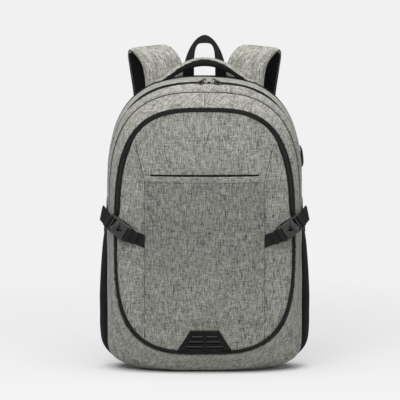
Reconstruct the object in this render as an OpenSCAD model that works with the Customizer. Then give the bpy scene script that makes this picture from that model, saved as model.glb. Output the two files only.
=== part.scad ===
// Grey laptop backpack with a front pocket, compression buckles and padded shoulder straps.
// The front faces -Y, the wearer's side +Y, and the base stands on z = 0.

/* [Body] */
// Width of the body across its sides
body_w = 300; // [290:1:320]
// Height of the body's top edge
body_h = 450; // [436:1:470]
// Depth from the back panel's outer face to the front rim
body_d = 142; // [134:1:160]
// Thickness of the padded fabric walls
wall = 3; // [2.5:0.5:4]
// Rise of the rounded top above the straight sides
top_rise = 165; // [145:1:175]
// Rise of the rounded bottom corners
bottom_rise = 50; // [44:1:58]
// Thickness of the back panel
back_t = 3; // [2:0.5:5]

/* [Front] */
// Width across the front rim
rim_w = 281; // [275:1:287]
// Height of the front rim's top
rim_top = 417; // [410:1:424]
// Height of the front rim's bottom
rim_bottom = 31.5; // [28:0.5:34]
// How far the front panel swells out past the rim
dome = 14; // [11:1:18]
// Width of each half of the front pocket's zip tape
pocket_tape_w = 4.3; // [3.5:0.1:5]
// Thickness of the front panel
panel_t = 2.6; // [2:0.2:3.4]
// Height at which the front pocket's flap folds
fold_z = 250; // [247:1:258]
// Width of the slash pocket
slash_w = 188; // [160:1:196]
// Height of the slash pocket's open top edge
slash_top = 307; // [295:1:320]
// Height of the slash pocket's bottom seam
slash_bottom = 75; // [73:1:100]
// Room inside the slash pocket at the middle of its top edge
slash_room = 7; // [5.5:0.5:8]
// Thickness of the slash pocket's cloth
slash_t = 1.6; // [1.2:0.2:2.4]
// Width of the rubber patch at its bottom
patch_w = 85; // [70:1:95]
// Width of the rubber patch at its top
patch_top_w = 44; // [36:1:52]
// Height of the rubber patch
patch_h = 33; // [28:1:36]
// Thickness of the rubber patch
patch_t = 3.2; // [2.4:0.2:4]

/* [Main zip] */
// Depth of the main zip at the top of the body
split_top_y = -24; // [-30:1:-18]
// Depth of the main zip at the base
split_low_y = -52; // [-55:1:-46]
// Width of each half of the main zip's tape
tape_w = 7; // [5:0.5:8]
// Thickness of the zip tapes
tape_t = 2; // [1.5:0.1:2.4]
// Distance between the two sliders
slider_pitch = 14; // [13:1:20]
// Sideways place of the slider pair
slider_x = 7; // [-5:1:10]
// Length of a slider
slider_l = 9; // [8:0.5:11]
// Width of a slider
slider_w = 8; // [7:0.5:9]
// Outer radius of a ring pull
ring_r = 5.5; // [4.5:0.5:6]

/* [Side pockets] */
// Height of the mesh pocket's top edge
pocket_top = 214; // [195:1:218]
// Room inside the mesh pocket at its fullest
pocket_room = 13; // [10:1:16]
// Room inside the mesh pocket at its elastic hem
hem_room = 5.2; // [4.8:0.2:7]
// Thickness of the mesh
mesh_t = 1.4; // [1:0.2:2]
// Height of the elastic hem
hem_h = 9; // [7:1:10]
// Distance of the pocket's rear edge from the back's face
pocket_rear = 11; // [8:1:18]

/* [Compression straps] */
// Width of the compression webbing
comp_w = 20; // [18:1:22]
// Thickness of webbing
web_t = 1.6; // [1.2:0.1:1.8]
// Height of the buckle's middle
buckle_z = 231; // [225:1:234]
// Width of the buckle
buckle_w = 26; // [25:0.5:28]
// Thickness of the buckle
buckle_t = 8; // [7:0.5:9]
// Angle of the buckle's face round the front corner
buckle_yaw = 22; // [20:1:24]
// Rise of the strap at the buckle
strap_rise = 32.8; // [30:0.2:34]

/* [Handles] */
// Height of the padded handle's top above the body
handle_rise = 31.5; // [26:0.5:34]
// Span of the padded handle between its ends
handle_span = 152; // [140:1:156]
// Thickness of the padded handle
handle_t = 14; // [10:1:15]
// Breadth of the padded handle, front to back
handle_w = 22; // [16:1:22]
// Distance of the padded handle's middle from the back's face
handle_back = 20; // [19:0.5:23]
// Height of the grab loop's top above the body
loop_rise = 65; // [55:1:70]
// Width over the grab loop's legs
loop_w = 68; // [60:1:68]
// Width of the grab loop's webbing
loop_web_w = 17.5; // [14:0.5:18]
// Thickness of the grab loop's webbing
loop_t = 2.4; // [2:0.2:2.6]

/* [Shoulder straps] */
// Width of the padded shoulder strap
strap_w = 60; // [54:1:62]
// Thickness of the padded shoulder strap
strap_t = 11; // [9:1:12]
// Distance of the strap's sewn end from the middle of the back
strap_x = 62; // [60:1:66]
// Width of the lower webbing
web_w = 25; // [20:1:28]
// Distance of the yoke's lower edge below the top of the body
yoke_drop = 84; // [79:1:89]
// Height of the yoke
yoke_h = 46; // [40:1:50]
// Thickness of the yoke
yoke_t = 3; // [2:0.5:4]

/* [Back] */
// Width of each upper back pad
pad_w = 92; // [80:1:96]
// Gap between the upper back pads and the yoke
pad_top_gap = 3; // [2:1:30]
// Gap between the two upper back pads
pad_gap = 26; // [20:1:34]
// Thickness of the back pads
pad_t = 9; // [7:1:11]
// Height of the upper back pads' lower edge
pad_z = 128; // [122:1:135]
// Width of the lumbar pad
lumbar_w = 176; // [150:1:180]
// Height of the lumbar pad
lumbar_h = 78; // [60:1:82]
// Height of the lumbar pad's lower edge
lumbar_z = 34; // [30:1:36]
// Corner radius of the back pads
pad_r = 22; // [15:1:28]

/* [Inside and port] */
// Height of the laptop sleeve's open edge
sleeve_top = 330; // [300:1:345]
// Depth of the laptop's space
laptop_room = 24; // [22:1:27]
// Thickness of the laptop sleeve
sleeve_t = 3; // [2:0.5:4]
// Width of the base board
board_w = 124; // [100:1:126]
// Depth of the base board
board_d = 60; // [50:1:62]
// Thickness of the base board
board_t = 2; // [1.5:0.5:3]
// Height of the charging port's middle
port_z = 330; // [318:1:340]
// Depth at which the charging port sits
port_y = 22; // [18:1:26]
// Length of the port's housing
port_l = 34; // [30:1:38]
// Width of the port's housing
port_w = 19; // [16:1:22]

/* [Fits] */
// Clearance between pieces that touch or are sewn together
seat = 0.3; // [0.2:0.05:0.4]
// Gap between the two halves of a closed zip
zip_gap = 0.5; // [0.4:0.1:0.8]
// Radial clearance of the ring pulls on their bars
pin_clear = 0.1; // [0.05:0.01:0.15]

/* [Hidden] */
grey = [0.60, 0.59, 0.56];
dark_grey = [0.50, 0.49, 0.47];
black = [0.07, 0.07, 0.08];
mesh_black = [0.10, 0.10, 0.11];
plastic = [0.16, 0.16, 0.17];
gunmetal = [0.33, 0.33, 0.34];
board_white = [0.80, 0.80, 0.78];

back_y = body_d / 2;
rim_y = -body_d / 2;
front_round = 51;
rear_round = 51;
front_start = rim_y + front_round;
rear_start = back_y - rear_round;
joint_gap = 0.06;
base_sink = 2;
rear_taper = 3;
rear_lift = 4;
rim_rise = 197;
rim_drop = 178.5;
rim_power = 3.15;
top_power = 2.7;

// A body outline: half width, top centre, rise and exponent, bottom centre, drop and exponent
mid = [body_w / 2, body_h - top_rise, top_rise, top_power, bottom_rise, bottom_rise + base_sink, 3];
rear = [body_w / 2 - rear_taper, mid[1], top_rise - rear_taper, top_power,
    bottom_rise, bottom_rise - rear_lift, 3];
rim = [rim_w / 2, rim_top - rim_rise, rim_rise, rim_power, rim_bottom + rim_drop, rim_drop, 3.2];

arc_top = 24;
arc_bottom = 20;
side_steps = 4;
outline_n = arc_top + arc_bottom + 2 * side_steps;

function lerp(a, b, t) = a + (b - a) * t;
function unit(v) = v / norm(v);
function signed_pow(v, e) = sign(v) * pow(abs(v), e);
function arch(r, n) = pow(max(0, 1 - pow(abs(r), n)), 1 / n);
function inset(s, d) = [s[0] - d, s[1], s[2] - d, s[3], s[4], s[5] - d, s[6]];

// The body's outline at a depth y
function shape_at(y) =
    y < front_start ? lerp(mid, rim, pow((front_start - y) / front_round, 2.2)) :
    y > rear_start ? lerp(mid, rear, pow((y - rear_start) / rear_round, 2)) : mid;

function half_width(s, z) =
    z > s[1] ? s[0] * arch((z - s[1]) / s[2], s[3]) :
    z < s[4] ? s[0] * arch((s[4] - z) / s[5], s[6]) : s[0];
function top_height(s, x) = s[1] + s[2] * arch(x / s[0], s[3]);
function side_x(y, z) = half_width(shape_at(y), z);

// Point i of an outline, counterclockwise from the right side, no lower than floor_z
function outline_point(s, i, floor_z = 0) =
    i <= arc_top ? let (t = 180 * i / arc_top)
        [s[0] * signed_pow(cos(t), 2 / s[3]), s[1] + s[2] * signed_pow(sin(t), 2 / s[3])] :
    i < arc_top + side_steps ? [-s[0], lerp(s[1], s[4], (i - arc_top) / side_steps)] :
    i <= arc_top + side_steps + arc_bottom ?
        let (t = 180 + 180 * (i - arc_top - side_steps) / arc_bottom)
        [s[0] * signed_pow(cos(t), 2 / s[6]), max(floor_z, s[4] + s[5] * signed_pow(sin(t), 2 / s[6]))] :
    [s[0], lerp(s[4], s[1], (i - arc_top - side_steps - arc_bottom) / side_steps)];
function outline(s, floor_z = 0) = [for (i = [0 : outline_n - 1]) outline_point(s, i, floor_z)];

// A ring round the body: one depth for each outline point, set in from the outer surface by d
function ring(depths, d) = [
    for (i = [0 : outline_n - 1])
        let (q = outline_point(inset(shape_at(depths[i]), d), i, max(0, d)))
        [q[0], depths[i], q[1]]];
// A ring on the front rim, set in by d at one depth y
function rim_ring(d, y) = [for (q = outline(inset(rim, d))) [q[0], y, q[1]]];

// The main zip's line slopes from the top of the body down to the front of the base
function split_y(z) = lerp(split_low_y, split_top_y, z / body_h);
split_line = [for (i = [0 : outline_n - 1]) split_y(outline_point(mid, i)[1])];
function shifted(line, d) = [for (y = line) y + d];
function between(line, y_end, f) = [for (y = line) lerp(y, y_end, f)];

// A closed hollow band from rings that follow its section from back to front outside, and back inside
module band(rings) {
    n = len(rings[0]);
    r = len(rings);
    points = [for (a = rings) each a];
    faces = [
        for (j = [0 : r - 1], i = [0 : n - 1])
            let (k = (j + 1) % r, m = (i + 1) % n)
            each [[j * n + i, k * n + i, k * n + m], [j * n + i, k * n + m, j * n + m]]];
    polyhedron(points, faces);
}

// A closed sheet between two grids of points, rows upwards and columns to the viewer's right
module slab(outer, inner) {
    rows = len(outer);
    cols = len(outer[0]);
    base = rows * cols;
    points = concat([for (a = outer) each a], [for (a = inner) each a]);
    front = [for (r = [0 : rows - 2], c = [0 : cols - 2])
        let (a = r * cols + c, b = a + cols)
        each [[a, b, b + 1], [a, b + 1, a + 1]]];
    back = [for (f = front) [f[0] + base, f[2] + base, f[1] + base]];
    last = base - cols;
    ends = [for (c = [0 : cols - 2])
        each [[c, c + 1, base + c + 1], [c, base + c + 1, base + c],
            [last + c + 1, last + c, base + last + c], [last + c + 1, base + last + c, base + last + c + 1]]];
    sides = [for (r = [0 : rows - 2])
        let (a = r * cols, b = a + cols, e = a + cols - 1, f = e + cols)
        each [[b, a, base + a], [b, base + a, base + b], [e, f, base + f], [e, base + f, base + e]]];
    polyhedron(points, concat(front, back, ends, sides));
}

// A closed tube through sections of equal length, each counterclockwise about the way it runs
module swept(sections) {
    n = len(sections[0]);
    last = (len(sections) - 1) * n;
    points = [for (s = sections) each s];
    walls = [for (k = [0 : len(sections) - 2], j = [0 : n - 1])
        let (m = (j + 1) % n, a = k * n, b = a + n)
        each [[a + j, b + j, b + m], [a + j, b + m, a + m]]];
    caps = [for (j = [1 : n - 2]) each [[0, j, j + 1], [last, last + j + 1, last + j]]];
    polyhedron(points, concat(walls, caps));
}

function tangent(path, k) = unit(path[min(k + 1, len(path) - 1)] - path[max(k - 1, 0)]);
// Sections of a strip along a path: its breadth lies along across, made square to the path
function strip(path, profile, across) = [
    for (k = [0 : len(path) - 1])
        let (t = tangent(path, k), w = unit(across - (across * t) * t), h = cross(t, w))
        [for (q = profile) path[k] + q[0] * w + q[1] * h]];
function flat_profile(w, t) = [[w / 2, -t / 2], [w / 2, t / 2], [-w / 2, t / 2], [-w / 2, -t / 2]];
function soft_profile(w, t) = let (e = t * 0.25, c = t * 0.4) [
    [w / 2, -e], [w / 2, e], [w / 2 - c, t / 2], [c - w / 2, t / 2],
    [-w / 2, e], [-w / 2, -e], [c - w / 2, -t / 2], [w / 2 - c, -t / 2]];

// A flat plate of an x-z outline whose rear face lies at depth y
module plate(y, t) {
    translate([0, y, 0]) rotate([90, 0, 0]) linear_extrude(t) children();
}
// The same piece on the right, or mirrored to the left
module on_side(side) {
    if (side > 0) children();
    else mirror([1, 0, 0]) children();
}

// Rear half
module rear_gusset() {
    start = shifted(split_line, zip_gap / 2 + tape_w);
    steps = [1, 0.8, 0.55, 0.25, 0];
    color(grey) difference() {
        band(concat(
            [for (f = steps) ring(between(start, back_y, f), 0)],
            [for (j = [len(steps) - 1 : -1 : 0]) ring(between(start, back_y, steps[j]), wall)]));
        port_cut();
    }
}
module rear_zip_tape() {
    edge = shifted(split_line, zip_gap / 2);
    far = shifted(edge, tape_w - joint_gap);
    color(black) band([ring(far, 0), ring(edge, 0), ring(edge, tape_t), ring(far, tape_t)]);
}
piping_r = 2.2;
piping_w = 3.2;
piping_lift = 0.2;
module piping(line) {
    h = piping_w / 2;
    band([ring(shifted(line, h), -piping_lift), ring(shifted(line, h / 2), -piping_r),
        ring(shifted(line, -h / 2), -piping_r), ring(shifted(line, -h), -piping_lift)]);
}
rear_piping_y = back_y - piping_w / 2 - joint_gap;
module rear_piping() {
    color(black) piping([for (y = split_line) rear_piping_y]);
}
module back_panel() {
    color(mesh_black) plate(back_y, back_t) polygon(outline(inset(rear, wall + seat), wall + seat));
}
yoke_z = body_h - yoke_drop;
pad_h = yoke_z - pad_top_gap - pad_z;
module pad(w, h, x, z) {
    plate(back_y + pad_t, pad_t) translate([x - w / 2, z])
        translate([pad_r, pad_r]) offset(r = pad_r, $fn = 32) square([w - 2 * pad_r, h - 2 * pad_r]);
}
module back_pad_left() { color(mesh_black) pad(pad_w, pad_h, -(pad_w + pad_gap) / 2, pad_z); }
module back_pad_right() { color(mesh_black) pad(pad_w, pad_h, (pad_w + pad_gap) / 2, pad_z); }
module lumbar_pad() { color(mesh_black) pad(lumbar_w, lumbar_h, 0, lumbar_z); }
sleeve_y = back_y - back_t - laptop_room;
module laptop_sleeve() {
    rows = 14;
    low = wall + seat + rear_lift;
    edge = [for (k = [0 : rows])
        let (z = lerp(low, sleeve_top, pow(k / rows, 1.8)))
        [half_width(inset(shape_at(sleeve_y), wall + 3 * seat), z), z]];
    color(dark_grey) plate(sleeve_y, sleeve_t)
        polygon(concat(edge, [for (k = [rows : -1 : 0]) [-edge[k][0], edge[k][1]]]));
}
board_y = sleeve_y - sleeve_t - seat - board_d;
module base_board() {
    color(board_white) translate([-board_w / 2, board_y, wall + 4 * seat]) cube([board_w, board_d, board_t]);
}

// Side pockets
pocket_low = 14;
pocket_front_y = split_y(pocket_top + hem_h) + zip_gap / 2 + tape_w + 2 * seat;
pocket_rear_y = back_y - pocket_rear;
pocket_ease = 0.6;
// Room between the pocket and the body at a share v of its depth and f of its height
function pocket_gap(v, f) =
    let (full = pocket_room * pow(sin(90 * min(1, f / 0.45)), 0.8), draw = pow(max(0, (f - 0.45) / 0.55), 1.6))
    seat + pocket_ease * pow(1 - f, 4) + lerp(full, hem_room, draw) * pow(sin(180 * v), 0.55);
module pocket_sheet(z_low, z_high, rows) {
    cols = 10;
    function grid(d) = [for (r = [0 : rows])
        let (z = lerp(z_low, z_high, pow(r / rows, 1.5)),
            f = min(1, (z - pocket_low) / (pocket_top - pocket_low)))
        [for (c = [0 : cols])
            let (y = lerp(pocket_front_y, pocket_rear_y, c / cols))
            [side_x(y, z) + pocket_gap(c / cols, f) + d, y, z]]];
    slab(grid(mesh_t), grid(0));
}
module mesh_pocket(side) {
    color(mesh_black) on_side(side) pocket_sheet(pocket_low, pocket_top - seat, 12);
}
module pocket_hem(side) {
    color(black) on_side(side) pocket_sheet(pocket_top, pocket_top + hem_h, 2);
}
module mesh_pocket_left() { mesh_pocket(-1); }
module mesh_pocket_right() { mesh_pocket(1); }
module pocket_hem_left() { pocket_hem(-1); }
module pocket_hem_right() { pocket_hem(1); }

// Charging port on the right side
socket_w = 7;
socket_l = 14.6;
socket_d = 16;
socket_wall = 1;
port_proud = 4;
port_x = side_x(port_y, port_z);
module port_cut() {
    translate([port_x, port_y, port_z])
        cube([2 * socket_d, socket_w + 2 * seat, socket_l + 2 * seat], center = true);
}
module usb_housing() {
    rows = 6;
    cols = 6;
    edge_t = 1;
    function grid(proud) = [for (r = [0 : rows])
        let (z = port_z + port_l * (r / rows - 0.5))
        [for (c = [0 : cols])
            let (y = port_y + port_w * (c / cols - 0.5),
                bump = (1 - pow(2 * r / rows - 1, 4)) * (1 - pow(2 * c / cols - 1, 4)))
            [side_x(y, z) + seat + proud * (edge_t + (port_proud - edge_t) * bump), y, z]]];
    color(black) difference() {
        slab(grid(1), grid(0));
        port_cut();
    }
}
module usb_socket() {
    tongue_t = 1.6;
    color(gunmetal) translate([port_x + seat + port_proud - socket_d, port_y, port_z]) {
        difference() {
            translate([0, -socket_w / 2, -socket_l / 2]) cube([socket_d, socket_w, socket_l]);
            translate([2, socket_wall - socket_w / 2, socket_wall - socket_l / 2])
                cube([socket_d, socket_w - 2 * socket_wall, socket_l - 2 * socket_wall]);
        }
        translate([1, -tongue_t / 2, 2 - socket_l / 2]) cube([socket_d - 4, tongue_t, socket_l - 4]);
    }
}

// Front half
module front_gusset() {
    start = shifted(split_line, -zip_gap / 2 - tape_w);
    steps = [0, 0.3, 0.6, 0.8, 0.92, 1];
    color(grey) band(concat(
        [for (f = steps) ring(between(start, rim_y, f), 0)],
        [for (j = [len(steps) - 1 : -1 : 0]) ring(between(start, rim_y, steps[j]), wall)]));
}
module front_zip_tape() {
    edge = shifted(split_line, -zip_gap / 2);
    far = shifted(edge, joint_gap - tape_w);
    color(black) band([ring(edge, 0), ring(far, 0), ring(far, tape_t), ring(edge, tape_t)]);
}
gusset_piping_y = rim_y + 20;
module gusset_piping() {
    reach = tape_w + zip_gap + piping_w;
    color(black) piping([for (y = split_line) min(gusset_piping_y, y - reach)]);
}
divider_y = rim_y + 15;
divider_t = 2;
module divider_panel() {
    color(dark_grey) plate(divider_y, divider_t)
        polygon(outline(inset(shape_at(divider_y - divider_t), wall + seat)));
}
face_y = rim_y - seat - tape_t;
module pocket_zip_tape() {
    color(black) band([rim_ring(0, rim_y - joint_gap), rim_ring(0, face_y + seat),
        rim_ring(pocket_tape_w, face_y), rim_ring(pocket_tape_w, rim_y - joint_gap)]);
}
flap_in = 2 * pocket_tape_w + 2 * seat;
panel_in = pocket_tape_w + seat;
dome_z = (rim[1] + rim[4]) / 2;
// Depth of the front panel's outer surface
function face_at(x, z) =
    let (a = rim[0] - panel_in, b = z > dome_z ? rim_top - panel_in - dome_z : dome_z - rim_bottom - panel_in,
        r = pow(pow(abs(x) / a, rim_power) + pow(abs(z - dome_z) / b, rim_power), 1 / rim_power))
    face_y - dome * (1 - pow(min(1, r), 2.4));
panel_cols = 14;
// Rows of points across the front panel between edges given as half width and height
function panel_grid(edge, depth) = [for (q = edge)
    [for (c = [0 : panel_cols])
        let (x = q[0] * sin(90 * (2 * c / panel_cols - 1)))
        [x, face_at(x, q[1]) + depth, q[1]]]];
// Where the rim's outline, set in by d, crosses a height z near the fold
function fold_edge(d, z) =
    let (s = inset(rim, d), p = outline_point(s, 0), q = outline_point(s, 1))
    [lerp(p[0], q[0], (z - p[1]) / (q[1] - p[1])), z];
tip_share = 0.1;
bottom_i = arc_top + side_steps + arc_bottom / 2;
top_i = arc_top / 2;
module front_panel() {
    s = inset(rim, panel_in);
    tip = lerp(outline_point(s, bottom_i), outline_point(s, bottom_i + 1), tip_share);
    edge = concat([tip], [for (i = [bottom_i + 1 : outline_n - 1])
        let (q = outline_point(s, i))
        if (q[1] < fold_z - 2 * seat) q], [fold_edge(panel_in, fold_z - seat)]);
    color(dark_grey) slab(panel_grid(edge, 0), panel_grid(edge, panel_t));
}
module front_flap() {
    s = inset(rim, flap_in);
    tip = lerp(outline_point(s, top_i), outline_point(s, top_i - 1), tip_share);
    edge = concat([fold_edge(flap_in, fold_z + seat)], [for (i = [0 : top_i - 1])
        let (q = outline_point(s, i))
        if (q[1] > fold_z + 2 * seat) q], [tip]);
    color(dark_grey) slab(panel_grid(edge, 0), panel_grid(edge, panel_t));
}
module flap_zip_tape() {
    function edge(i, d) = i > 0 && i < arc_top ? outline_point(inset(rim, d), i) :
        let (q = fold_edge(d, fold_z + seat)) [i == 0 ? q[0] : -q[0], q[1]];
    sections = [for (i = [0 : arc_top])
        let (a = edge(i, panel_in), b = edge(i, flap_in - seat))
        [for (q = [[a, tape_t], [a, 0], [b, 0], [b, tape_t]])
            [q[0][0], face_y + q[1], q[0][1]]]];
    color(black) swept(sections);
}
function slash_gap(x, z) = seat + slash_room * (1 - pow(abs(2 * x / slash_w), 2.2))
    * pow((z - slash_bottom) / (slash_top - slash_bottom), 0.6);
module slash_sheet(z_low, z_high, rows) {
    cols = 12;
    function grid(d) = [for (r = [0 : rows])
        let (z = lerp(z_low, z_high, r / rows))
        [for (c = [0 : cols])
            let (x = slash_w * (c / cols - 0.5))
            [x, face_at(x, z) - slash_gap(x, z) - d, z]]];
    color(dark_grey) slab(grid(slash_t), grid(0));
}
module slash_pocket_lower() { slash_sheet(slash_bottom, fold_z - seat, 8); }
module slash_pocket_flap() { slash_sheet(fold_z + seat, slash_top, 4); }
patch_z = rim_bottom + panel_in + 1;
module rubber_patch() {
    rows = 4;
    cols = 8;
    function grid(d) = [for (r = [0 : rows])
        let (z = patch_z + patch_h * r / rows, w = lerp(patch_w, patch_top_w, r / rows))
        [for (c = [0 : cols])
            let (x = w * (c / cols - 0.5))
            [x, face_at(x, z) - seat - d, z]]];
    color(plastic) slab(grid(patch_t), grid(0));
}

// Compression straps: made on the left, where the buckle leans round the front corner
buckle_n = [-sin(buckle_yaw), -cos(buckle_yaw), 0];
buckle_u = [-cos(buckle_yaw) * cos(strap_rise), sin(buckle_yaw) * cos(strap_rise), sin(strap_rise)];
buckle_v = cross(buckle_n, buckle_u);
corner_reach = sin(buckle_yaw) * rim[0] - cos(buckle_yaw) * face_y;
buckle_x = -(rim[0] - 8);
buckle_lift = 1;
buckle_mid = corner_reach + buckle_lift + buckle_t / 2;
buckle_y = -(buckle_mid + sin(buckle_yaw) * buckle_x) / cos(buckle_yaw);
buckle_c = [buckle_x, buckle_y, buckle_z];
function at_buckle(p) = buckle_c + p[0] * buckle_u + p[1] * buckle_v + p[2] * buckle_n;
module in_buckle(side) {
    on_side(-side) multmatrix([
        [buckle_u[0], buckle_v[0], buckle_n[0], buckle_c[0]],
        [buckle_u[1], buckle_v[1], buckle_n[1], buckle_c[1]],
        [buckle_u[2], buckle_v[2], buckle_n[2], buckle_c[2]],
        [0, 0, 0, 1]]) children();
}
// A block of the buckle between two lengths along the strap, two breadths and two heights
module block(u0, u1, v0, v1, h0, h1) {
    translate([u0, v0, h0]) cube([u1 - u0, v1 - v0, h1 - h0]);
}
female_back = -19;
female_mouth = 3;
socket_end = -11;
socket_half_t = buckle_t / 2 - 1.6;
bar_t = 2.2;
slot_t = 3.4;
blade_w = 6;
prong_t = 4.2;
prong_in = 6;
prong_l = 12;
male_end = 21;
module buckle_female(side) {
    half = buckle_w / 2;
    web = comp_w / 2 + 0.6;
    color(plastic) in_buckle(side) difference() {
        block(female_back, female_mouth, -half, half, -buckle_t / 2, buckle_t / 2);
        block(socket_end, female_mouth + 1, -half - 1, half + 1, -socket_half_t, socket_half_t);
        block(female_back + bar_t, female_back + bar_t + slot_t, -web, web, -buckle_t, buckle_t);
    }
}
module buckle_male(side) {
    half = buckle_w / 2 - 0.6;
    web = comp_w / 2 + 0.6;
    root = female_mouth + seat;
    blade_t = socket_half_t - seat;
    color(plastic) in_buckle(side) {
        difference() {
            block(root, male_end, -half, half, -buckle_t / 2, buckle_t / 2);
            for (k = [0, 1])
                let (u = male_end - bar_t - slot_t - k * (slot_t + bar_t))
                block(u, u + slot_t, -web, web, -buckle_t, buckle_t);
        }
        block(socket_end + 2, root, -blade_w / 2, blade_w / 2, -blade_t, blade_t);
    }
}
prong_gap = 0.4;
prong_root = female_mouth + seat - prong_gap;
module prong(side, up) {
    tab = buckle_w / 2 - 0.4;
    blade_t = socket_half_t - seat;
    color(plastic) in_buckle(side) mirror([0, up > 0 ? 1 : 0, 0]) translate([0, 0, -blade_t])
        linear_extrude(2 * blade_t) polygon([
            [prong_root, prong_in], [prong_root, prong_in + prong_t], [-1, prong_in + prong_t],
            [-3, tab], [prong_root - prong_l + 3, tab], [prong_root - prong_l, prong_in + prong_t],
            [prong_root - prong_l, prong_in]]);
}
module strap_tail(side) {
    tail_l = 14;
    half = comp_w / 2;
    color(black) in_buckle(side)
        block(male_end + seat, male_end + seat + tail_l, -half, half, -web_t / 2, web_t / 2);
}
module strap_front(side) {
    sew_x = -slash_w / 2 - 6;
    sew_z = buckle_z - 26;
    under = -buckle_t / 2 - seat - web_t / 2;
    end = at_buckle([female_back + bar_t + slot_t / 2, 0, under]);
    near = at_buckle([female_back - 4, 0, under]);
    sewn = [sew_x, face_at(sew_x, sew_z) - 2 * seat - web_t / 2, sew_z];
    mid_x = (sew_x + near[0]) / 2;
    mid_z = (sew_z + near[2]) / 2;
    middle = [mid_x, face_at(mid_x, mid_z) - 2 * seat - web_t, mid_z];
    color(black) on_side(-side)
        swept(strip([sewn, middle, near, end], flat_profile(comp_w, web_t), buckle_v));
}
module side_webbing(side) {
    lift = seat + web_t / 2;
    x_front = body_w / 2 + lift + piping_r;
    y_end = (sin(buckle_yaw) * x_front + web_t / 2 + seat - corner_reach - buckle_lift) / cos(buckle_yaw);
    z_end = at_buckle([male_end, 0, 0])[2];
    climb = 18;
    y_seam = back_y - piping_w - 2;
    y_split = split_y(z_end);
    path = [
        [-(side_x(y_seam, z_end + climb) + lift), y_seam, z_end + climb],
        [-(side_x(rear_start, z_end + climb) + lift + 0.8), rear_start, z_end + climb * 0.7],
        [-(body_w / 2 + lift + 0.8), y_split, z_end + climb * 0.2],
        [-x_front, gusset_piping_y + piping_w, z_end],
        [-x_front, y_end, z_end]];
    color(black) on_side(-side) swept(strip(path, flat_profile(comp_w, web_t), [0, 0, 1]));
}
module buckle_female_left() { buckle_female(-1); }
module buckle_female_right() { buckle_female(1); }
module buckle_male_left() { buckle_male(-1); }
module buckle_male_right() { buckle_male(1); }
module prong_upper_left() { prong(-1, 1); }
module prong_lower_left() { prong(-1, -1); }
module prong_upper_right() { prong(1, 1); }
module prong_lower_right() { prong(1, -1); }
module strap_tail_left() { strap_tail(-1); }
module strap_tail_right() { strap_tail(1); }
module strap_front_left() { strap_front(-1); }
module strap_front_right() { strap_front(1); }
module side_webbing_left() { side_webbing(-1); }
module side_webbing_right() { side_webbing(1); }

// Main zip sliders and their ring pulls
slider_t = 2.2;
bail_h = 5;
bail_r = 0.8;
cheek_t = 1.3;
cheek_l = 2.4;
eye_r = 2;
arm_l = 5;
pull_t = 1.6;
pull_droop = 14;
function slider_place(side) = let (x = slider_x + side * slider_pitch / 2)
    [x, split_top_y, top_height(shape_at(split_top_y), x) + seat];
module slider(side) {
    color(gunmetal) translate(slider_place(side)) {
        translate([-slider_l / 2, -slider_w / 2, 0]) cube([slider_l, slider_w, slider_t]);
        for (s = [-1, 1])
            translate([-cheek_l / 2, s * (slider_w / 2 - cheek_t / 2) - cheek_t / 2, slider_t - 0.2])
                cube([cheek_l, cheek_t, bail_h + bail_r - slider_t + 0.2]);
        translate([0, slider_w / 2, bail_h]) rotate([90, 0, 0]) cylinder(r = bail_r, h = slider_w, $fn = 24);
    }
}
module pull(side) {
    eye_w = slider_w - 2 * cheek_t - 2 * seat;
    ring_x = eye_r + arm_l + ring_r - 1;
    color(gunmetal) translate(slider_place(side)) translate([0, 0, bail_h])
        on_side(side) rotate([0, pull_droop, 0]) difference() {
            union() {
                translate([0, eye_w / 2, 0]) rotate([90, 0, 0]) cylinder(r = eye_r, h = eye_w, $fn = 32);
                translate([0, -eye_w * 0.35, -pull_t / 2]) cube([eye_r + arm_l, eye_w * 0.7, pull_t]);
                translate([ring_x, 0, -pull_t / 2]) difference() {
                    cylinder(r = ring_r, h = pull_t, $fn = 48);
                    translate([0, 0, -1]) cylinder(r = ring_r * 0.55, h = pull_t + 2, $fn = 48);
                }
            }
            translate([0, eye_w, 0]) rotate([90, 0, 0])
                cylinder(r = bail_r + pin_clear, h = 2 * eye_w, $fn = 32);
        }
}
module main_slider_left() { slider(-1); }
module main_slider_right() { slider(1); }
module main_pull_left() { pull(-1); }
module main_pull_right() { pull(1); }

// Padded handle and webbing grab loop
handle_bend = 0.00723;
handle_neck = 3.2;
handle_lean = 30;
handle_stations = 20;
handle_y = back_y - handle_back;
handle_top = body_h + handle_rise;
function handle_half(x) = let (f = abs(x) / (handle_span / 2))
    lerp(handle_w / 2, handle_neck, pow(max(0, (f - 0.6) / 0.4), 1.3));
function under_handle(x) = top_height(shape_at(handle_y - handle_half(x)), x) + seat;
handle_axis_z = under_handle(handle_span / 2) + handle_neck;
function handle_over(x) = handle_top - handle_bend * x * x;
function handle_under(x) = let (w = handle_half(x))
    max(handle_over(x) - handle_t,
        handle_axis_z + (under_handle(x) - handle_axis_z + w * sin(handle_lean)) / cos(handle_lean)
            - handle_neck * tan(handle_lean) * pow(abs(x) / (handle_span / 2), 8));
module carry_handle() {
    sections = [for (k = [0 : handle_stations])
        let (x = handle_span * (k / handle_stations - 0.5), w = handle_half(x),
            low = k % handle_stations == 0 ? under_handle(x) : handle_under(x),
            high = max(handle_over(x), low + 2 * handle_neck), c = min(w * 0.8, (high - low) * 0.4))
        [for (q = [[w, low + c], [w, high - c], [w - c, high], [c - w, high],
            [-w, high - c], [-w, low + c], [c - w, low], [w - c, low]]) [x, handle_y + q[0], q[1]]]];
    color(grey) swept(sections);
}
loop_y = back_y - loop_t - 0.2;
loop_z = top_height(shape_at(rear_piping_y), loop_w / 2 - loop_web_w) + piping_r + seat;
loop_top = body_h + loop_rise;
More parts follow.
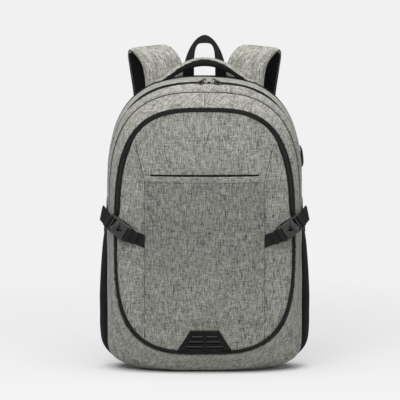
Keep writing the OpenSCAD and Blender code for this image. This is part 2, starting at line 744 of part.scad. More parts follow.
module grab_loop() {
    steps = 28;
    inner_top = loop_top - 13;
    function arc(w, top, n) = [for (k = [0 : steps])
        let (t = 180 * k / steps)
        [w * signed_pow(cos(t), 2 / n), loop_z + (top - loop_z) * signed_pow(sin(t), 2 / n)]];
    outer = arc(loop_w / 2, loop_top, 1.8);
    inner = arc(loop_w / 2 - loop_web_w, inner_top, 4);
    color(black) plate(loop_y + loop_t, loop_t)
        polygon(concat(outer, [for (k = [steps : -1 : 0]) inner[k]]));
}

// Shoulder straps
yoke_w = 188;
strap_line = yoke_z + 12;
module strap_yoke() {
    r = 8;
    color(black) plate(back_y + seat + yoke_t, yoke_t) translate([r - yoke_w / 2, yoke_z + r])
        offset(r = r, $fn = 32) square([yoke_w - 2 * r, yoke_h - 2 * r]);
}
strap_y = back_y + yoke_t + 2 * seat + strap_t / 2;
fold_at = 3;
// Route of the strap's middle from its sewn end over the top and down to the adjuster
strap_path = [for (q = [
    [0, 0, 12], [0, 0, 32], [0, 0, 52], [1, 0.3, 70], [4.5, 2, 88], [13, 9, 103], [24, 21, 111], [28, 36, 104],
    [25, 49, 77], [19, 58, 32], [17, 60, -28], [26, 54, -88], [38, 44, -138]])
    [strap_x + q[0], strap_y + q[1], strap_line + q[2]]];
strap_sections = strip(strap_path, soft_profile(strap_w, strap_t), [1, 0, 0]);
strap_end = strap_path[len(strap_path) - 1];
strap_end_t = tangent(strap_path, len(strap_path) - 1);
strap_end_w = unit([1, 0, 0] - strap_end_t[0] * strap_end_t);
strap_end_n = cross(strap_end_t, strap_end_w);
module strap_root(side) {
    color(grey) on_side(side) swept([for (k = [0 : fold_at]) strap_sections[k]]);
}
module shoulder_strap(side) {
    lift = [0, 0, seat];
    first = [for (q = strap_sections[fold_at]) q + lift];
    color(grey) on_side(side)
        swept(concat([first], [for (k = [fold_at + 1 : len(strap_path) - 1]) strap_sections[k]]));
}
adjuster_l = 26;
adjuster_w = web_w + 9;
adjuster_t = 4;
module strap_adjuster(side) {
    start = strap_end + seat * strap_end_t;
    color(plastic) on_side(side) multmatrix([
        [-strap_end_w[0], strap_end_t[0], strap_end_n[0], start[0]],
        [-strap_end_w[1], strap_end_t[1], strap_end_n[1], start[1]],
        [-strap_end_w[2], strap_end_t[2], strap_end_n[2], start[2]],
        [0, 0, 0, 1]])
        difference() {
            translate([-adjuster_w / 2, 0, -adjuster_t / 2]) cube([adjuster_w, adjuster_l, adjuster_t]);
            for (k = [0, 1])
                translate([-web_w / 2 - 1, 6 + 9 * k, -adjuster_t]) cube([web_w + 2, slot_t, 2 * adjuster_t]);
        }
}
anchor_x = body_w / 2 - 32;
anchor_w = 34;
anchor_h = 28;
anchor_z = 24;
anchor_t = 2.4;
module strap_anchor(side) {
    tip = web_w / 2 + 1;
    color(black) on_side(side) plate(back_y + seat + anchor_t, anchor_t)
        polygon([[anchor_x - anchor_w / 2, anchor_z + 6], [anchor_x - anchor_w / 2 + 6, anchor_z],
            [anchor_x + anchor_w / 2 - 8, anchor_z], [anchor_x + anchor_w / 2 - 2, anchor_z + 6],
            [anchor_x + tip, anchor_z + anchor_h], [anchor_x - tip, anchor_z + anchor_h]]);
}
module strap_webbing(side) {
    top = strap_end + (adjuster_l + 2 * seat) * strap_end_t;
    low = [anchor_x, back_y + seat + anchor_t / 2, anchor_z + anchor_h + seat];
    path = [top, top + 5 * strap_end_t, lerp(top, low, 0.3) + [0, 2, -3], lerp(top, low, 0.65) + [0, 1, -4],
        low + [0, 4, 14], low + [0, 0.6, 5], low];
    color(black) on_side(side) swept(strip(path, flat_profile(web_w, web_t), [1, 0, 0]));
}
module strap_root_left() { strap_root(-1); }
module strap_root_right() { strap_root(1); }
module shoulder_strap_left() { shoulder_strap(-1); }
module shoulder_strap_right() { shoulder_strap(1); }
module strap_adjuster_left() { strap_adjuster(-1); }
module strap_adjuster_right() { strap_adjuster(1); }
module strap_webbing_left() { strap_webbing(-1); }
module strap_webbing_right() { strap_webbing(1); }
module strap_anchor_left() { strap_anchor(-1); }
module strap_anchor_right() { strap_anchor(1); }

rear_gusset();
rear_zip_tape();
rear_piping();
back_panel();
back_pad_left();
back_pad_right();
lumbar_pad();
laptop_sleeve();
base_board();
mesh_pocket_left();
mesh_pocket_right();
pocket_hem_left();
pocket_hem_right();
usb_housing();
usb_socket();
strap_yoke();
strap_root_left();
strap_root_right();
strap_anchor_left();
strap_anchor_right();
side_webbing_left();
side_webbing_right();
front_gusset();
front_zip_tape();
gusset_piping();
divider_panel();
front_panel();
slash_pocket_lower();
pocket_zip_tape();
rubber_patch();
strap_front_left();
strap_front_right();
buckle_female_left();
buckle_female_right();
front_flap();
slash_pocket_flap();
flap_zip_tape();
main_slider_left();
main_slider_right();
main_pull_left();
main_pull_right();
buckle_male_left();
buckle_male_right();
strap_tail_left();
strap_tail_right();
prong_upper_left();
prong_lower_left();
prong_upper_right();
prong_lower_right();
carry_handle();
grab_loop();
shoulder_strap_left();
shoulder_strap_right();
strap_adjuster_left();
strap_adjuster_right();
strap_webbing_left();
strap_webbing_right();
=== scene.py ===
import bpy
from math import copysign, cos, exp, pi, radians, sin, sqrt
from mathutils import Matrix, Vector, noise


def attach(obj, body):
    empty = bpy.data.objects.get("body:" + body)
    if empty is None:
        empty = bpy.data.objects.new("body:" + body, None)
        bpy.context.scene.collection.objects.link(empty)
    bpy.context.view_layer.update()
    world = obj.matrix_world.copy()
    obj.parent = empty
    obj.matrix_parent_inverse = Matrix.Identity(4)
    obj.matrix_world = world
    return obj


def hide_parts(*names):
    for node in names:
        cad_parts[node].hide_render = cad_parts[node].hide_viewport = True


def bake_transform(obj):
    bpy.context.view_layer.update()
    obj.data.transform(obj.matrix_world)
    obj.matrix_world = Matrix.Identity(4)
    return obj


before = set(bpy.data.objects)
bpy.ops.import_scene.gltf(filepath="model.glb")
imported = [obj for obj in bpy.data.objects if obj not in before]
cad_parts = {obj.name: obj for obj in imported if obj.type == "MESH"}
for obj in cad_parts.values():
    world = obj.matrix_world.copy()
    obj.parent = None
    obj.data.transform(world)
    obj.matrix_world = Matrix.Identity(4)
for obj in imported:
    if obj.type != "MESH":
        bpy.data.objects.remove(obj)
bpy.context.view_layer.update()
print("frame loaded")

# outlines: half width, top centre, rise, power, bottom centre, drop, power
bag = {
    "mid": (0.150, 0.285, 0.165, 2.7, 0.050, 0.052, 3.0),
    "rear": (0.147, 0.285, 0.162, 2.7, 0.050, 0.046, 3.0),
    "rim": (0.1405, 0.220, 0.197, 3.15, 0.210, 0.1785, 3.2),
    "backY": 0.071,
    "rimY": -0.071,
    "round": 0.051,
    "zipTop": -0.024,
    "zipLow": -0.052,
    "height": 0.450,
    "topSteps": 84,
    "sideSteps": 12,
    "lowSteps": 72,
}
ringCount = bag["topSteps"] + bag["lowSteps"] + 2 * bag["sideSteps"]
bothSides = (("left", "Left", -1), ("right", "Right", 1))


def lerp(a, b, t):
    return a + (b - a) * t


def ease(t):
    t = min(1.0, max(0.0, t))
    return t * t * (3 - 2 * t)


def signedPow(v, e):
    return copysign(abs(v) ** e, v)


def blendShape(a, b, t):
    return tuple(lerp(p, q, t) for p, q in zip(a, b))


def grown(s, d):
    return (s[0] + d, s[1], s[2] + d, s[3], s[4], s[5] + d, s[6])


def shapeAt(y):
    front = bag["rimY"] + bag["round"]
    back = bag["backY"] - bag["round"]
    if y < front:
        return blendShape(bag["mid"], bag["rim"], ((front - y) / bag["round"]) ** 2.2)
    if y > back:
        return blendShape(bag["mid"], bag["rear"], ((y - back) / bag["round"]) ** 2)
    return bag["mid"]


def outlineAt(s, k):  # k runs 0..ringCount, from the right side over the top
    k = k % ringCount
    top, side, low = bag["topSteps"], bag["sideSteps"], bag["lowSteps"]
    if k <= top:
        a = pi * k / top
        return (s[0] * signedPow(cos(a), 2 / s[3]), s[1] + s[2] * signedPow(sin(a), 2 / s[3]))
    if k < top + side:
        return (-s[0], lerp(s[1], s[4], (k - top) / side))
    if k <= top + side + low:
        a = pi * (1 + (k - top - side) / low)
        return (s[0] * signedPow(cos(a), 2 / s[6]), s[4] + s[5] * signedPow(sin(a), 2 / s[6]))
    return (s[0], lerp(s[4], s[1], (k - top - side - low) / side))


def skin(k, y, out=0.0):  # a point on the body, out metres proud of it
    x, z = outlineAt(grown(shapeAt(y), out), k)
    return Vector((x, y, max(0.0, z)))


def zipDepth(k):
    return lerp(bag["zipLow"], bag["zipTop"], max(0.0, outlineAt(bag["mid"], k)[1]) / bag["height"])


def halfWidth(s, z):
    if z > s[1]:
        r, n = (z - s[1]) / s[2], s[3]
    elif z < s[4]:
        r, n = (s[4] - z) / s[5], s[6]
    else:
        return s[0]
    return s[0] * max(0.0, 1 - abs(r) ** n) ** (1 / n)


def sideX(y, z):
    return halfWidth(shapeAt(y), z)


def topHeight(y, x):
    s = shapeAt(y)
    return s[1] + s[2] * max(0.0, 1 - abs(x / s[0]) ** s[3]) ** (1 / s[3])


def rumple(p, scale, depth):  # soft unevenness of stuffed cloth
    return depth * noise.noise(Vector(p) * scale)


def smoothPath(points, count):  # evenly spaced points on a smooth curve through the given ones
    pts = [Vector(p) for p in points]
    fine = []
    for i in range(len(pts) - 1):
        a, b = pts[max(i - 1, 0)], pts[i]
        c, d = pts[i + 1], pts[min(i + 2, len(pts) - 1)]
        for n in range(24):
            t = n / 24
            fine.append(0.5 * (2 * b + (c - a) * t + (2 * a - 5 * b + 4 * c - d) * t * t
                               + (3 * b - a - 3 * c + d) * t ** 3))
    fine.append(pts[-1])
    return evenPath(fine, count)


def evenPath(fine, count):
    run = [0.0]
    for p, q in zip(fine, fine[1:]):
        run.append(run[-1] + (q - p).length)
    made, i = [], 0
    for n in range(count):
        d = run[-1] * n / (count - 1)
        while i < len(run) - 2 and run[i + 1] < d:
            i += 1
        step = run[i + 1] - run[i]
        made.append(fine[i].lerp(fine[i + 1], (d - run[i]) / step if step else 0.0))
    return made


def pathFrames(path, across, square=True):  # centre, run, breadth and height at each point
    made = []
    for i, p in enumerate(path):
        t = (path[min(i + 1, len(path) - 1)] - path[max(i - 1, 0)]).normalized()
        a = Vector(across(i / (len(path) - 1)) if callable(across) else across)
        w = (a - t * a.dot(t) * square).normalized()
        made.append((p, t, w, t.cross(w).normalized()))
    return made


# modelling helpers
def newObject(name, data):
    obj = bpy.data.objects.new(name, data)
    bpy.context.scene.collection.objects.link(obj)
    return obj


def dropPick():
    active = bpy.context.view_layer.objects.active
    if active and active.mode != "OBJECT":
        bpy.ops.object.mode_set(mode="OBJECT")
    bpy.ops.object.select_all(action="DESELECT")


def takeUp(obj):
    dropPick()
    obj.select_set(True)
    bpy.context.view_layer.objects.active = obj
    return obj


def applyStack(obj):
    takeUp(obj)
    for m in list(obj.modifiers):
        bpy.ops.object.modifier_apply(modifier=m.name)


def editAll(obj, *steps):  # runs operators on the whole mesh in edit mode
    takeUp(obj)
    bpy.ops.object.mode_set(mode="EDIT")
    bpy.ops.mesh.select_all(action="SELECT")
    for step in steps:
        step()
    bpy.ops.object.mode_set(mode="OBJECT")


def weld():
    bpy.ops.mesh.remove_doubles(threshold=0.00002)


def faceOut():
    bpy.ops.mesh.normals_make_consistent(inside=False)


def gridPiece(name, cols, rows, place, ring=False, flip=False, flatUv=None):
    dropPick()
    bpy.ops.mesh.primitive_grid_add(x_subdivisions=cols, y_subdivisions=rows, size=2)
    obj = bpy.context.object
    obj.name = obj.data.name = name
    mesh = obj.data
    share = [((v.co.x + 1) / 2, (v.co.y + 1) / 2) for v in mesh.vertices]
    spots = [Vector(place(u, w)) for u, w in share]
    runU, runV = [0.0], [0.0]  # true lengths, so a weave keeps its scale
    for i in range(cols):
        runU.append(runU[-1] + (Vector(place((i + 1) / cols, 0.5)) - Vector(place(i / cols, 0.5))).length)
    for i in range(rows):
        runV.append(runV[-1] + (Vector(place(0.13, (i + 1) / rows)) - Vector(place(0.13, i / rows))).length)
    for v, p in zip(mesh.vertices, spots):
        v.co = p
    uv = mesh.uv_layers[0].data
    for loop in mesh.loops:
        u, w = share[loop.vertex_index]
        flat = flatUv(spots[loop.vertex_index]) if flatUv else (runU[round(u * cols)], runV[round(w * rows)])
        uv[loop.index].uv = flat
    steps = ([weld] if ring else []) + ([bpy.ops.mesh.flip_normals] if flip else [])
    if steps:
        editAll(obj, *steps)
    return obj


def closeEnds(obj):
    takeUp(obj)
    bpy.ops.object.mode_set(mode="EDIT")
    bpy.ops.mesh.select_all(action="DESELECT")
    bpy.ops.mesh.select_non_manifold(extend=False)
    bpy.ops.mesh.fill_holes(sides=0)
    bpy.ops.object.mode_set(mode="OBJECT")
    editAll(obj, faceOut)


def sweep(name, frames, sections, closed=False):  # sections of points set along frames of centre, breadth, height
    n, count = len(frames), len(sections[0])
    steps = n if closed else n - 1

    def place(u, v):
        i = round(v * steps) % n
        p, w, h = frames[i]
        a, b = sections[i][round(u * count) % count]
        return p + w * a + h * b

    obj = gridPiece(name, count, steps, place, ring=True)
    if closed:
        editAll(obj, faceOut)
    else:
        closeEnds(obj)
    return obj


def stripPiece(name, path, across, profile, square=True):  # a closed section swept along a path
    frames = [(p, w, h) for p, t, w, h in pathFrames(path, across, square)]
    return sweep(name, frames, [profile(i / (len(path) - 1)) for i in range(len(path))])


def webbingSection(width, thick):  # flat webbing with rounded edges
    e = thick / 2
    side = [(width / 2 - e * 0.4, -e), (width / 2, -e * 0.4), (width / 2, e * 0.4), (width / 2 - e * 0.4, e)]
    upper = [(width * f, e) for f in (0.25, 0.0, -0.25)]
    return side + upper + [(-a, b) for a, b in reversed(side)] + [(-a, -b) for a, b in upper]


def tubePiece(name, path, radius, closed=False, sides=10):
    n = len(path)

    def frameAt(i):
        a = path[(i - 1) % n] if closed else path[max(i - 1, 0)]
        b = path[(i + 1) % n] if closed else path[min(i + 1, n - 1)]
        t = (b - a).normalized()
        side = Vector((0, 1, 0)) if abs(t.y) < 0.9 else Vector((1, 0, 0))
        w = (side - t * side.dot(t)).normalized()
        return path[i], w, t.cross(w)

    turn = [2 * pi * i / sides for i in range(sides)]
    ring = [(radius * cos(a), radius * sin(a)) for a in turn]
    return sweep(name, [frameAt(i) for i in range(n)], [ring] * n, closed)


def rowOf(name, unit, places):  # copies of one small mesh, joined in one piece
    verts, faces = [], []
    base = [v.co.copy() for v in unit.data.vertices]
    polys = [tuple(p.vertices) for p in unit.data.polygons]
    for m in places:
        n = len(verts)
        verts += [m @ v for v in base]
        faces += [tuple(i + n for i in f) for f in polys]
    mesh = bpy.data.meshes.new(name)
    mesh.from_pydata(verts, [], faces)
    bpy.data.objects.remove(unit)
    return newObject(name, mesh)


def nodeCopy(name, node, edge=0.0, segments=2):  # a CAD node's own shape with softened edges
    obj = newObject(name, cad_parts[node].data.copy())
    obj.data.materials.clear()
    editAll(obj, weld, lambda: bpy.ops.mesh.dissolve_limited(angle_limit=0.02))
    if edge:
        soften(obj, edge, segments)
    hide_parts(node)
    return obj


def soften(obj, edge, segments=2, angle=30):
    m = obj.modifiers.new("edges", "BEVEL")
    m.width, m.segments, m.angle_limit = edge, segments, radians(angle)
    m.limit_method = "ANGLE"
    applyStack(obj)


def thicken(obj, thick, offset=-1.0, lined=False, edge=0):
    m = obj.modifiers.new("cloth", "SOLIDIFY")
    m.thickness, m.offset = thick, offset
    if lined:  # the inner side takes the second finish
        for _ in range(max(1, edge) + 1):
            obj.data.materials.append(None)
        m.material_offset, m.material_offset_rim = 1, edge
    applyStack(obj)


def dress(obj, look, slotName, body=None, nodes="", angle=40):  # finish, nodes it stands for and body; the slot name is not used
    slots = obj.data.materials
    for i, key in enumerate(look.split()):
        if i < len(slots):
            slots[i] = looks[key]
        else:
            slots.append(looks[key])
    takeUp(obj)
    bpy.ops.object.shade_smooth_by_angle(angle=radians(angle))
    if nodes:
        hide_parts(*nodes.split())
    if body:
        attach(obj, body)


def clothPiece(name, cols, rows, place, thick, *worn, angle=40, edge=0.0, offset=-1.0, **shape):
    obj = gridPiece(name, cols, rows, place, **shape)
    thicken(obj, thick, offset)
    if edge:
        soften(obj, edge, 2, 50)
    dress(obj, *worn, angle=angle)  # worn: finish, slot name (not used), body and nodes
    return obj



# finishes
def fill(tree, node, inputs):  # gives each input its value or its link
    for key, v in inputs.items():
        if isinstance(v, bpy.types.NodeSocket):
            tree.links.new(v, node.inputs[key])
        else:
            node.inputs[key].default_value = v
    return node


def addNode(tree, kind, inputs, **settings):
    n = tree.nodes.new("ShaderNode" + kind)
    for key, v in settings.items():
        setattr(n, key, v)
    return fill(tree, n, inputs)


def maths(tree, kind, *values):
    return addNode(tree, "Math", dict(enumerate(values)), operation=kind).outputs[0]


def weighed(tree, *pairs):  # values times their weights, added up
    parts = [maths(tree, "MULTIPLY", v, w) for v, w in pairs]
    total = parts[0]
    for p in parts[1:]:
        total = maths(tree, "ADD", total, p)
    return total


def scaled(tree, vector, factor):
    return addNode(tree, "VectorMath", {0: vector, "Scale": factor}, operation="SCALE").outputs[0]


def noiseValue(tree, vector, scale, detail=2.0, rough=0.5):
    inputs = {"Vector": vector, "Scale": scale, "Detail": detail, "Roughness": rough}
    return addNode(tree, "TexNoise", inputs).outputs["Fac"]


def ranged(tree, value, low, high, outLow=0.0, outHigh=1.0):
    inputs = {"Value": value, "From Min": low, "From Max": high, "To Min": outLow, "To Max": outHigh}
    return addNode(tree, "MapRange", inputs).outputs[0]


def tinted(tree, fac, a, b):
    a, b = [v if isinstance(v, bpy.types.NodeSocket) else (*v, 1.0) for v in (a, b)]
    return addNode(tree, "Mix", {"Factor": fac, 6: a, 7: b}, data_type="RGBA").outputs[2]


def wave(tree, vector, scale, direction):
    inputs = {"Vector": vector, "Scale": scale, "Distortion": 0.0}
    return addNode(tree, "TexWave", inputs, wave_type="BANDS", bands_direction=direction).outputs["Fac"]


def nodeGroup(name, inputs, outputs):  # a tuple makes a colour input, a number a plain value
    group = bpy.data.node_groups.new(name, "ShaderNodeTree")
    add = group.interface.new_socket
    add("Vector", in_out="INPUT", socket_type="NodeSocketVector")
    for label, v in inputs.items():
        kind = "NodeSocketColor" if isinstance(v, tuple) else "NodeSocketFloat"
        add(label, in_out="INPUT", socket_type=kind).default_value = v
    for label in outputs:
        add(label, in_out="OUTPUT", socket_type="NodeSocketColor" if label == "Color" else "NodeSocketFloat")
    return group, group.nodes.new("NodeGroupInput").outputs, group.nodes.new("NodeGroupOutput")


def yarnValue(tree, side, run, pace):  # uneven tone along each yarn, each one with its own phase
    yarn = maths(tree, "FLOOR", side)
    own = addNode(tree, "TexWhiteNoise", {"W": yarn}, noise_dimensions="1D").outputs["Value"]
    along = weighed(tree, (run, pace), (own, 83.0))
    place = addNode(tree, "CombineXYZ", {0: maths(tree, "MULTIPLY", yarn, 7.31), 1: along})
    return noiseValue(tree, place.outputs[0], 1.0, 4.0, 0.7)


def heatherGroup():  # slubby two-tone yarns, crossing, with patches of lighter and darker yarn
    inputs = {"Light": (0.6, 0.6, 0.57, 1), "Dark": (0.2, 0.2, 0.19, 1), "Yarns": 1500.0}
    g, a, b = nodeGroup("heatherYarn", inputs, ("Color", "Height", "Rough"))
    yarns = scaled(g, a["Vector"], a["Yarns"])
    x, y = addNode(g, "SeparateXYZ", {0: yarns}).outputs[:2]
    fleck = maths(g, "SUBTRACT", noiseValue(g, yarns, 0.55), 0.5)
    patches = maths(g, "SUBTRACT", noiseValue(g, a["Vector"], 40.0), 0.5)
    along, across = yarnValue(g, x, y, 0.055), yarnValue(g, y, x, 0.05)
    mixed = weighed(g, (along, 0.62), (across, 0.38), (fleck, 0.06), (patches, 0.03))
    fac = ranged(g, mixed, 0.40, 0.60)
    weave = [(wave(g, yarns, 0.5, way), 0.35) for way in "XY"]
    fill(g, b, {"Color": tinted(g, fac, a["Dark"], a["Light"]), "Height": weighed(g, *weave, (mixed, 0.6)),
                "Rough": ranged(g, fac, 0.0, 1.0, 0.92, 0.78)})
    return g


def ribGroup():  # ribbed webbing: fine ridges along it and crossing picks
    g, a, b = nodeGroup("webRib", {"Ribs": 500.0}, ("Height", "Shade"))
    v = scaled(g, a["Vector"], a["Ribs"])
    ribs, picks = wave(g, v, 0.30, "Y"), wave(g, v, 0.55, "X")
    worn = noiseValue(g, a["Vector"], 60.0, 3.0)
    fill(g, b, {"Height": weighed(g, (ribs, 0.7), (picks, 0.3)), "Shade": weighed(g, (ribs, 0.5), (worn, 0.7))})
    return g


def holeGroup():  # staggered round holes of a knitted mesh
    g, a, b = nodeGroup("meshHoles", {"Holes": 330.0}, ("Mask", "Height"))
    inputs = {"Vector": a["Vector"], "Scale": a["Holes"], "Randomness": 0.12}
    far = addNode(g, "TexVoronoi", inputs, feature="F1").outputs["Distance"]
    fill(g, b, {"Mask": ranged(g, far, 0.26, 0.40), "Height": ranged(g, far, 0.15, 0.55)})
    return g


groups = {"heather": heatherGroup(), "rib": ribGroup(), "holes": holeGroup()}


def newFinish(name, rough, color=(0.5, 0.5, 0.5)):
    mat = bpy.data.materials.new(name)
    mat.use_nodes = True
    t = mat.node_tree
    return mat, t, fill(t, t.nodes["Principled BSDF"], {"Roughness": rough, "Base Color": (*color, 1.0)})


def coords(tree, kind="UV"):
    return tree.nodes.new("ShaderNodeTexCoord").outputs[kind]


def bumped(tree, height, strength, distance):
    return addNode(tree, "Bump", {"Strength": strength, "Distance": distance, "Height": height}).outputs[0]


def useGroup(tree, key, vector, **values):
    n = tree.nodes.new("ShaderNodeGroup")
    n.node_tree = groups[key]
    values = {k: (*v, 1.0) if isinstance(v, tuple) else v for k, v in values.items()}
    return fill(tree, n, {"Vector": vector, **values}).outputs


def heatherCloth(name, light, dark, yarns=1500.0, bump=0.4, turn=0.0, foot=None):
    mat, t, shader = newFinish(name, 0.85)
    laid = addNode(t, "VectorRotate", {"Angle": turn, "Vector": coords(t)}, rotation_type="Z_AXIS")
    if foot:  # the tone changes towards the bottom: a painted shade higher up fades to the foot tone below
        up = ranged(t, addNode(t, "SeparateXYZ", {0: coords(t, "Object")}).outputs[2], 0.08, 0.20)
        light, dark = tinted(t, up, foot[0], light), tinted(t, up, foot[1], dark)
    n = useGroup(t, "heather", laid.outputs[0], Light=light, Dark=dark, Yarns=yarns)
    fill(t, shader, {"Base Color": n["Color"], "Roughness": n["Rough"], "Specular IOR Level": 0.25,
                     "Sheen Weight": 0.12, "Normal": bumped(t, n["Height"], bump, 0.0006)})
    return mat


def ribbedWebbing(name, dark, light, ribs):
    mat, t, shader = newFinish(name, 0.62)
    n = useGroup(t, "rib", coords(t), Ribs=ribs)
    fill(t, shader, {"Base Color": tinted(t, n["Shade"], dark, light), "Specular IOR Level": 0.12,
                     "Normal": bumped(t, n["Height"], 0.5, 0.0005)})
    return mat


def knitMesh(name, hole, yarn, holes):
    mat, t, shader = newFinish(name, 0.8)
    n = useGroup(t, "holes", coords(t), Holes=holes)
    fill(t, shader, {"Base Color": tinted(t, n["Mask"], hole, yarn), "Specular IOR Level": 0.05,
                     "Normal": bumped(t, n["Height"], 0.7, 0.0010)})
    return mat


def mouldedPlastic(name, color, rough, grain=900.0, shine=0.5):
    mat, t, shader = newFinish(name, rough, color)
    v = coords(t, "Object")
    fine, worn = noiseValue(t, v, grain, 3.0), noiseValue(t, v, 35.0, 3.0)
    lighter = tuple(c * 1.6 + 0.004 for c in color)
    fill(t, shader, {"Base Color": tinted(t, ranged(t, worn, 0.35, 0.75), color, lighter),
                     "Roughness": ranged(t, worn, 0.3, 0.7, rough - 0.07, rough + 0.1),
                     "Specular IOR Level": shine, "Normal": bumped(t, fine, 0.25, 0.0002)})
    return mat


def gunmetalCast(name, color, rough):
    mat, t, shader = newFinish(name, rough, color)
    worn = noiseValue(t, coords(t, "Object"), 420.0, 4.0)
    bright = tuple(min(1.0, c * 1.7) for c in color)
    fill(t, shader, {"Base Color": tinted(t, ranged(t, worn, 0.4, 0.7), color, bright), "Metallic": 1.0,
                     "Roughness": ranged(t, worn, 0.3, 0.7, rough - 0.1, rough + 0.12),
                     "Normal": bumped(t, worn, 0.15, 0.0002)})
    return mat


looks = {
    "body": heatherCloth("greyHeather", (0.475, 0.47, 0.425), (0.040, 0.039, 0.036), turn=0.5),
    "strap": heatherCloth("strapHeather", (0.525, 0.52, 0.470), (0.045, 0.044, 0.0405)),
    "panel": heatherCloth("panelHeather", (0.435, 0.43, 0.395), (0.036, 0.0355, 0.0325)),
    "lining": heatherCloth("liningCloth", (0.10, 0.10, 0.105), (0.06, 0.06, 0.065), 900.0, 0.2),
    "tape": ribbedWebbing("zipTapeWeave", (0.004, 0.004, 0.0042), (0.012, 0.012, 0.0125), 1100.0),
    "piping": ribbedWebbing("pipingCord", (0.005, 0.005, 0.0052), (0.013, 0.013, 0.0135), 900.0),
    "webbing": ribbedWebbing("blackWebbing", (0.005, 0.005, 0.0052), (0.018, 0.018, 0.0185), 520.0),
    "airMesh": knitMesh("spacerMesh", (0.003, 0.003, 0.003), (0.016, 0.016, 0.0165), 300.0),
    # the back's spacer mesh, painted lighter than the black strap mesh: painted light for the back, which the lamps
    # hardly reach; its larger holes are the mesh's own
    "backMesh": knitMesh("backMesh", (0.007, 0.007, 0.007), (0.050, 0.050, 0.052), 240.0),
    "pocketMesh": knitMesh("stretchMesh", (0.001, 0.001, 0.001), (0.016, 0.016, 0.0163), 280.0),
    "plastic": mouldedPlastic("buckleMoulding", (0.019, 0.019, 0.0195), 0.28, shine=0.36),
    "rubber": mouldedPlastic("patchRubber", (0.003, 0.003, 0.0032), 0.24, 500.0, shine=0.14),
    "metal": gunmetalCast("gunmetalZip", (0.30, 0.285, 0.25), 0.30),
    "pull": gunmetalCast("darkPull", (0.030, 0.030, 0.029), 0.42),
    # the panel heather painted darker: painted shade below the slit, fading back to the panel's own tone towards the
    # bottom
    "pocket": heatherCloth("pocketShadedHeather", (0.338, 0.334, 0.306), (0.026, 0.0255, 0.0235),
                           foot=((0.435, 0.43, 0.395), (0.036, 0.0355, 0.0325))),
    "teeth": mouldedPlastic("coilTeeth", (0.010, 0.010, 0.0105), 0.40, shine=0.25),
    "board": mouldedPlastic("baseBoard", (0.060, 0.060, 0.062), 0.6),
    # dark thread for the stitches; the same dark finish on the seam lines is painted shade in their creases
    "threadAndSeamShade": heatherCloth("seamShadeAndThread", (0.035, 0.035, 0.033), (0.012, 0.012, 0.0115), 2500.0, 0.2),
}
print("finishes ready")

# camera, floor and light
shot = {"target": (-0.0072, -0.072, 0.2735), "raise": 8.0, "lens": 600.0, "sensor": 36.0, "frame": 0.620}


def setShot():
    data = bpy.data.cameras.new("shotCamera")
    data.lens, data.sensor_width = shot["lens"], shot["sensor"]
    cam = newObject("shotCamera", data)
    e = radians(shot["raise"])
    back = Vector((0, -cos(e), sin(e)))
    cam.location = Vector(shot["target"]) + back * (shot["frame"] * shot["lens"] / shot["sensor"])
    cam.rotation_euler = (-back).to_track_quat("-Z", "Y").to_euler()
    bpy.context.scene.camera = cam


studio = {"floor": 0.70, "glow": 0.88, "share": 0.62, "bounce": 0.58, "sky": 0.42, "backdrop": 0.880,
          "wide": 1.2, "clear": 0.42, "gone": 0.95, "foot": (0.150, 0.066), "footEdge": (0.88, 1.16),
          "lamps": (("keyLamp", (-0.9, -2.3, 2.0), (0, 0, 0.25), 1.4, 42),
                    ("fillLamp", (1.8, -1.7, 0.9), (0, 0, 0.22), 1.6, 8),
                    ("topLamp", (0.0, -0.4, 1.9), (0, 0, 0.3), 1.3, 25))}


def areaLamp(name, place, aim, size, watts):
    data = bpy.data.lights.new(name, "AREA")
    data.shape, data.size, data.energy = "DISK", size, watts
    lamp = newObject(name, data)
    lamp.location = place
    lamp.rotation_euler = (Vector(aim) - Vector(place)).to_track_quat("-Z", "Y").to_euler()


def seenRays(tree):  # rays that meet the pale background: camera, glossy and transmission
    rays = tree.nodes.new("ShaderNodeLightPath").outputs
    bright = maths(tree, "MAXIMUM", rays["Is Camera Ray"], rays["Is Glossy Ray"])
    return maths(tree, "MAXIMUM", bright, rays["Is Transmission Ray"])


def setStudio():
    bpy.context.scene.view_settings.view_transform = "Standard"
    world = bpy.data.worlds.new("studioSky")
    bpy.context.scene.world = world
    world.use_nodes = True
    t, white = world.node_tree, (1, 1, 1, 1)
    sky = fill(t, t.nodes["Background"], {"Color": white, "Strength": studio["sky"]})
    seen = addNode(t, "Background", {"Color": white, "Strength": studio["backdrop"]})
    mix = addNode(t, "MixShader", {0: seenRays(t), 1: sky.outputs[0], 2: seen.outputs[0]})
    fill(t, t.nodes["World Output"], {0: mix.outputs[0]})
    makeFloor()
    for lamp in studio["lamps"]:
        areaLamp(*lamp)


def makeFloor():  # pale paper round the bag that fades into the backdrop
    dropPick()
    bpy.ops.mesh.primitive_circle_add(vertices=96, radius=studio["wide"], fill_type="NGON", location=(0, 0, -0.0002))
    floor = bpy.context.object
    floor.name = floor.data.name = "studioFloor"
    mat, t, shader = newFinish("floorPaper", 0.9)
    rays, spot = seenRays(t), coords(t, "Object")
    near, seen = (studio["bounce"],) * 3, (studio["floor"],) * 3
    fill(t, shader, {"Base Color": tinted(t, rays, near, seen), "Specular IOR Level": 0.1})
    inFoot = {0: spot, 1: [1 / d for d in studio["foot"]] + [0]}
    foot = addNode(t, "VectorMath", inFoot, operation="MULTIPLY").outputs["Vector"]
    away, span = [addNode(t, "VectorMath", {0: v}, operation="LENGTH").outputs["Value"] for v in (spot, foot)]
    lit = ranged(t, span, *studio["footEdge"], 0.0, studio["share"])  # the shade under the bag stays dark
    glow, clear = addNode(t, "Emission", {"Strength": studio["glow"]}), addNode(t, "BsdfTransparent", {})
    paper = addNode(t, "MixShader", {0: maths(t, "MULTIPLY", rays, lit), 1: shader.outputs[0], 2: glow.outputs[0]})
    fade = ranged(t, away, studio["clear"], studio["gone"])
    mix = addNode(t, "MixShader", {0: fade, 1: paper.outputs[0], 2: clear.outputs[0]})
    fill(t, t.nodes["Material Output"], {0: mix.outputs[0]})
    floor.data.materials.append(mat)


setShot()
setStudio()
print("studio set")

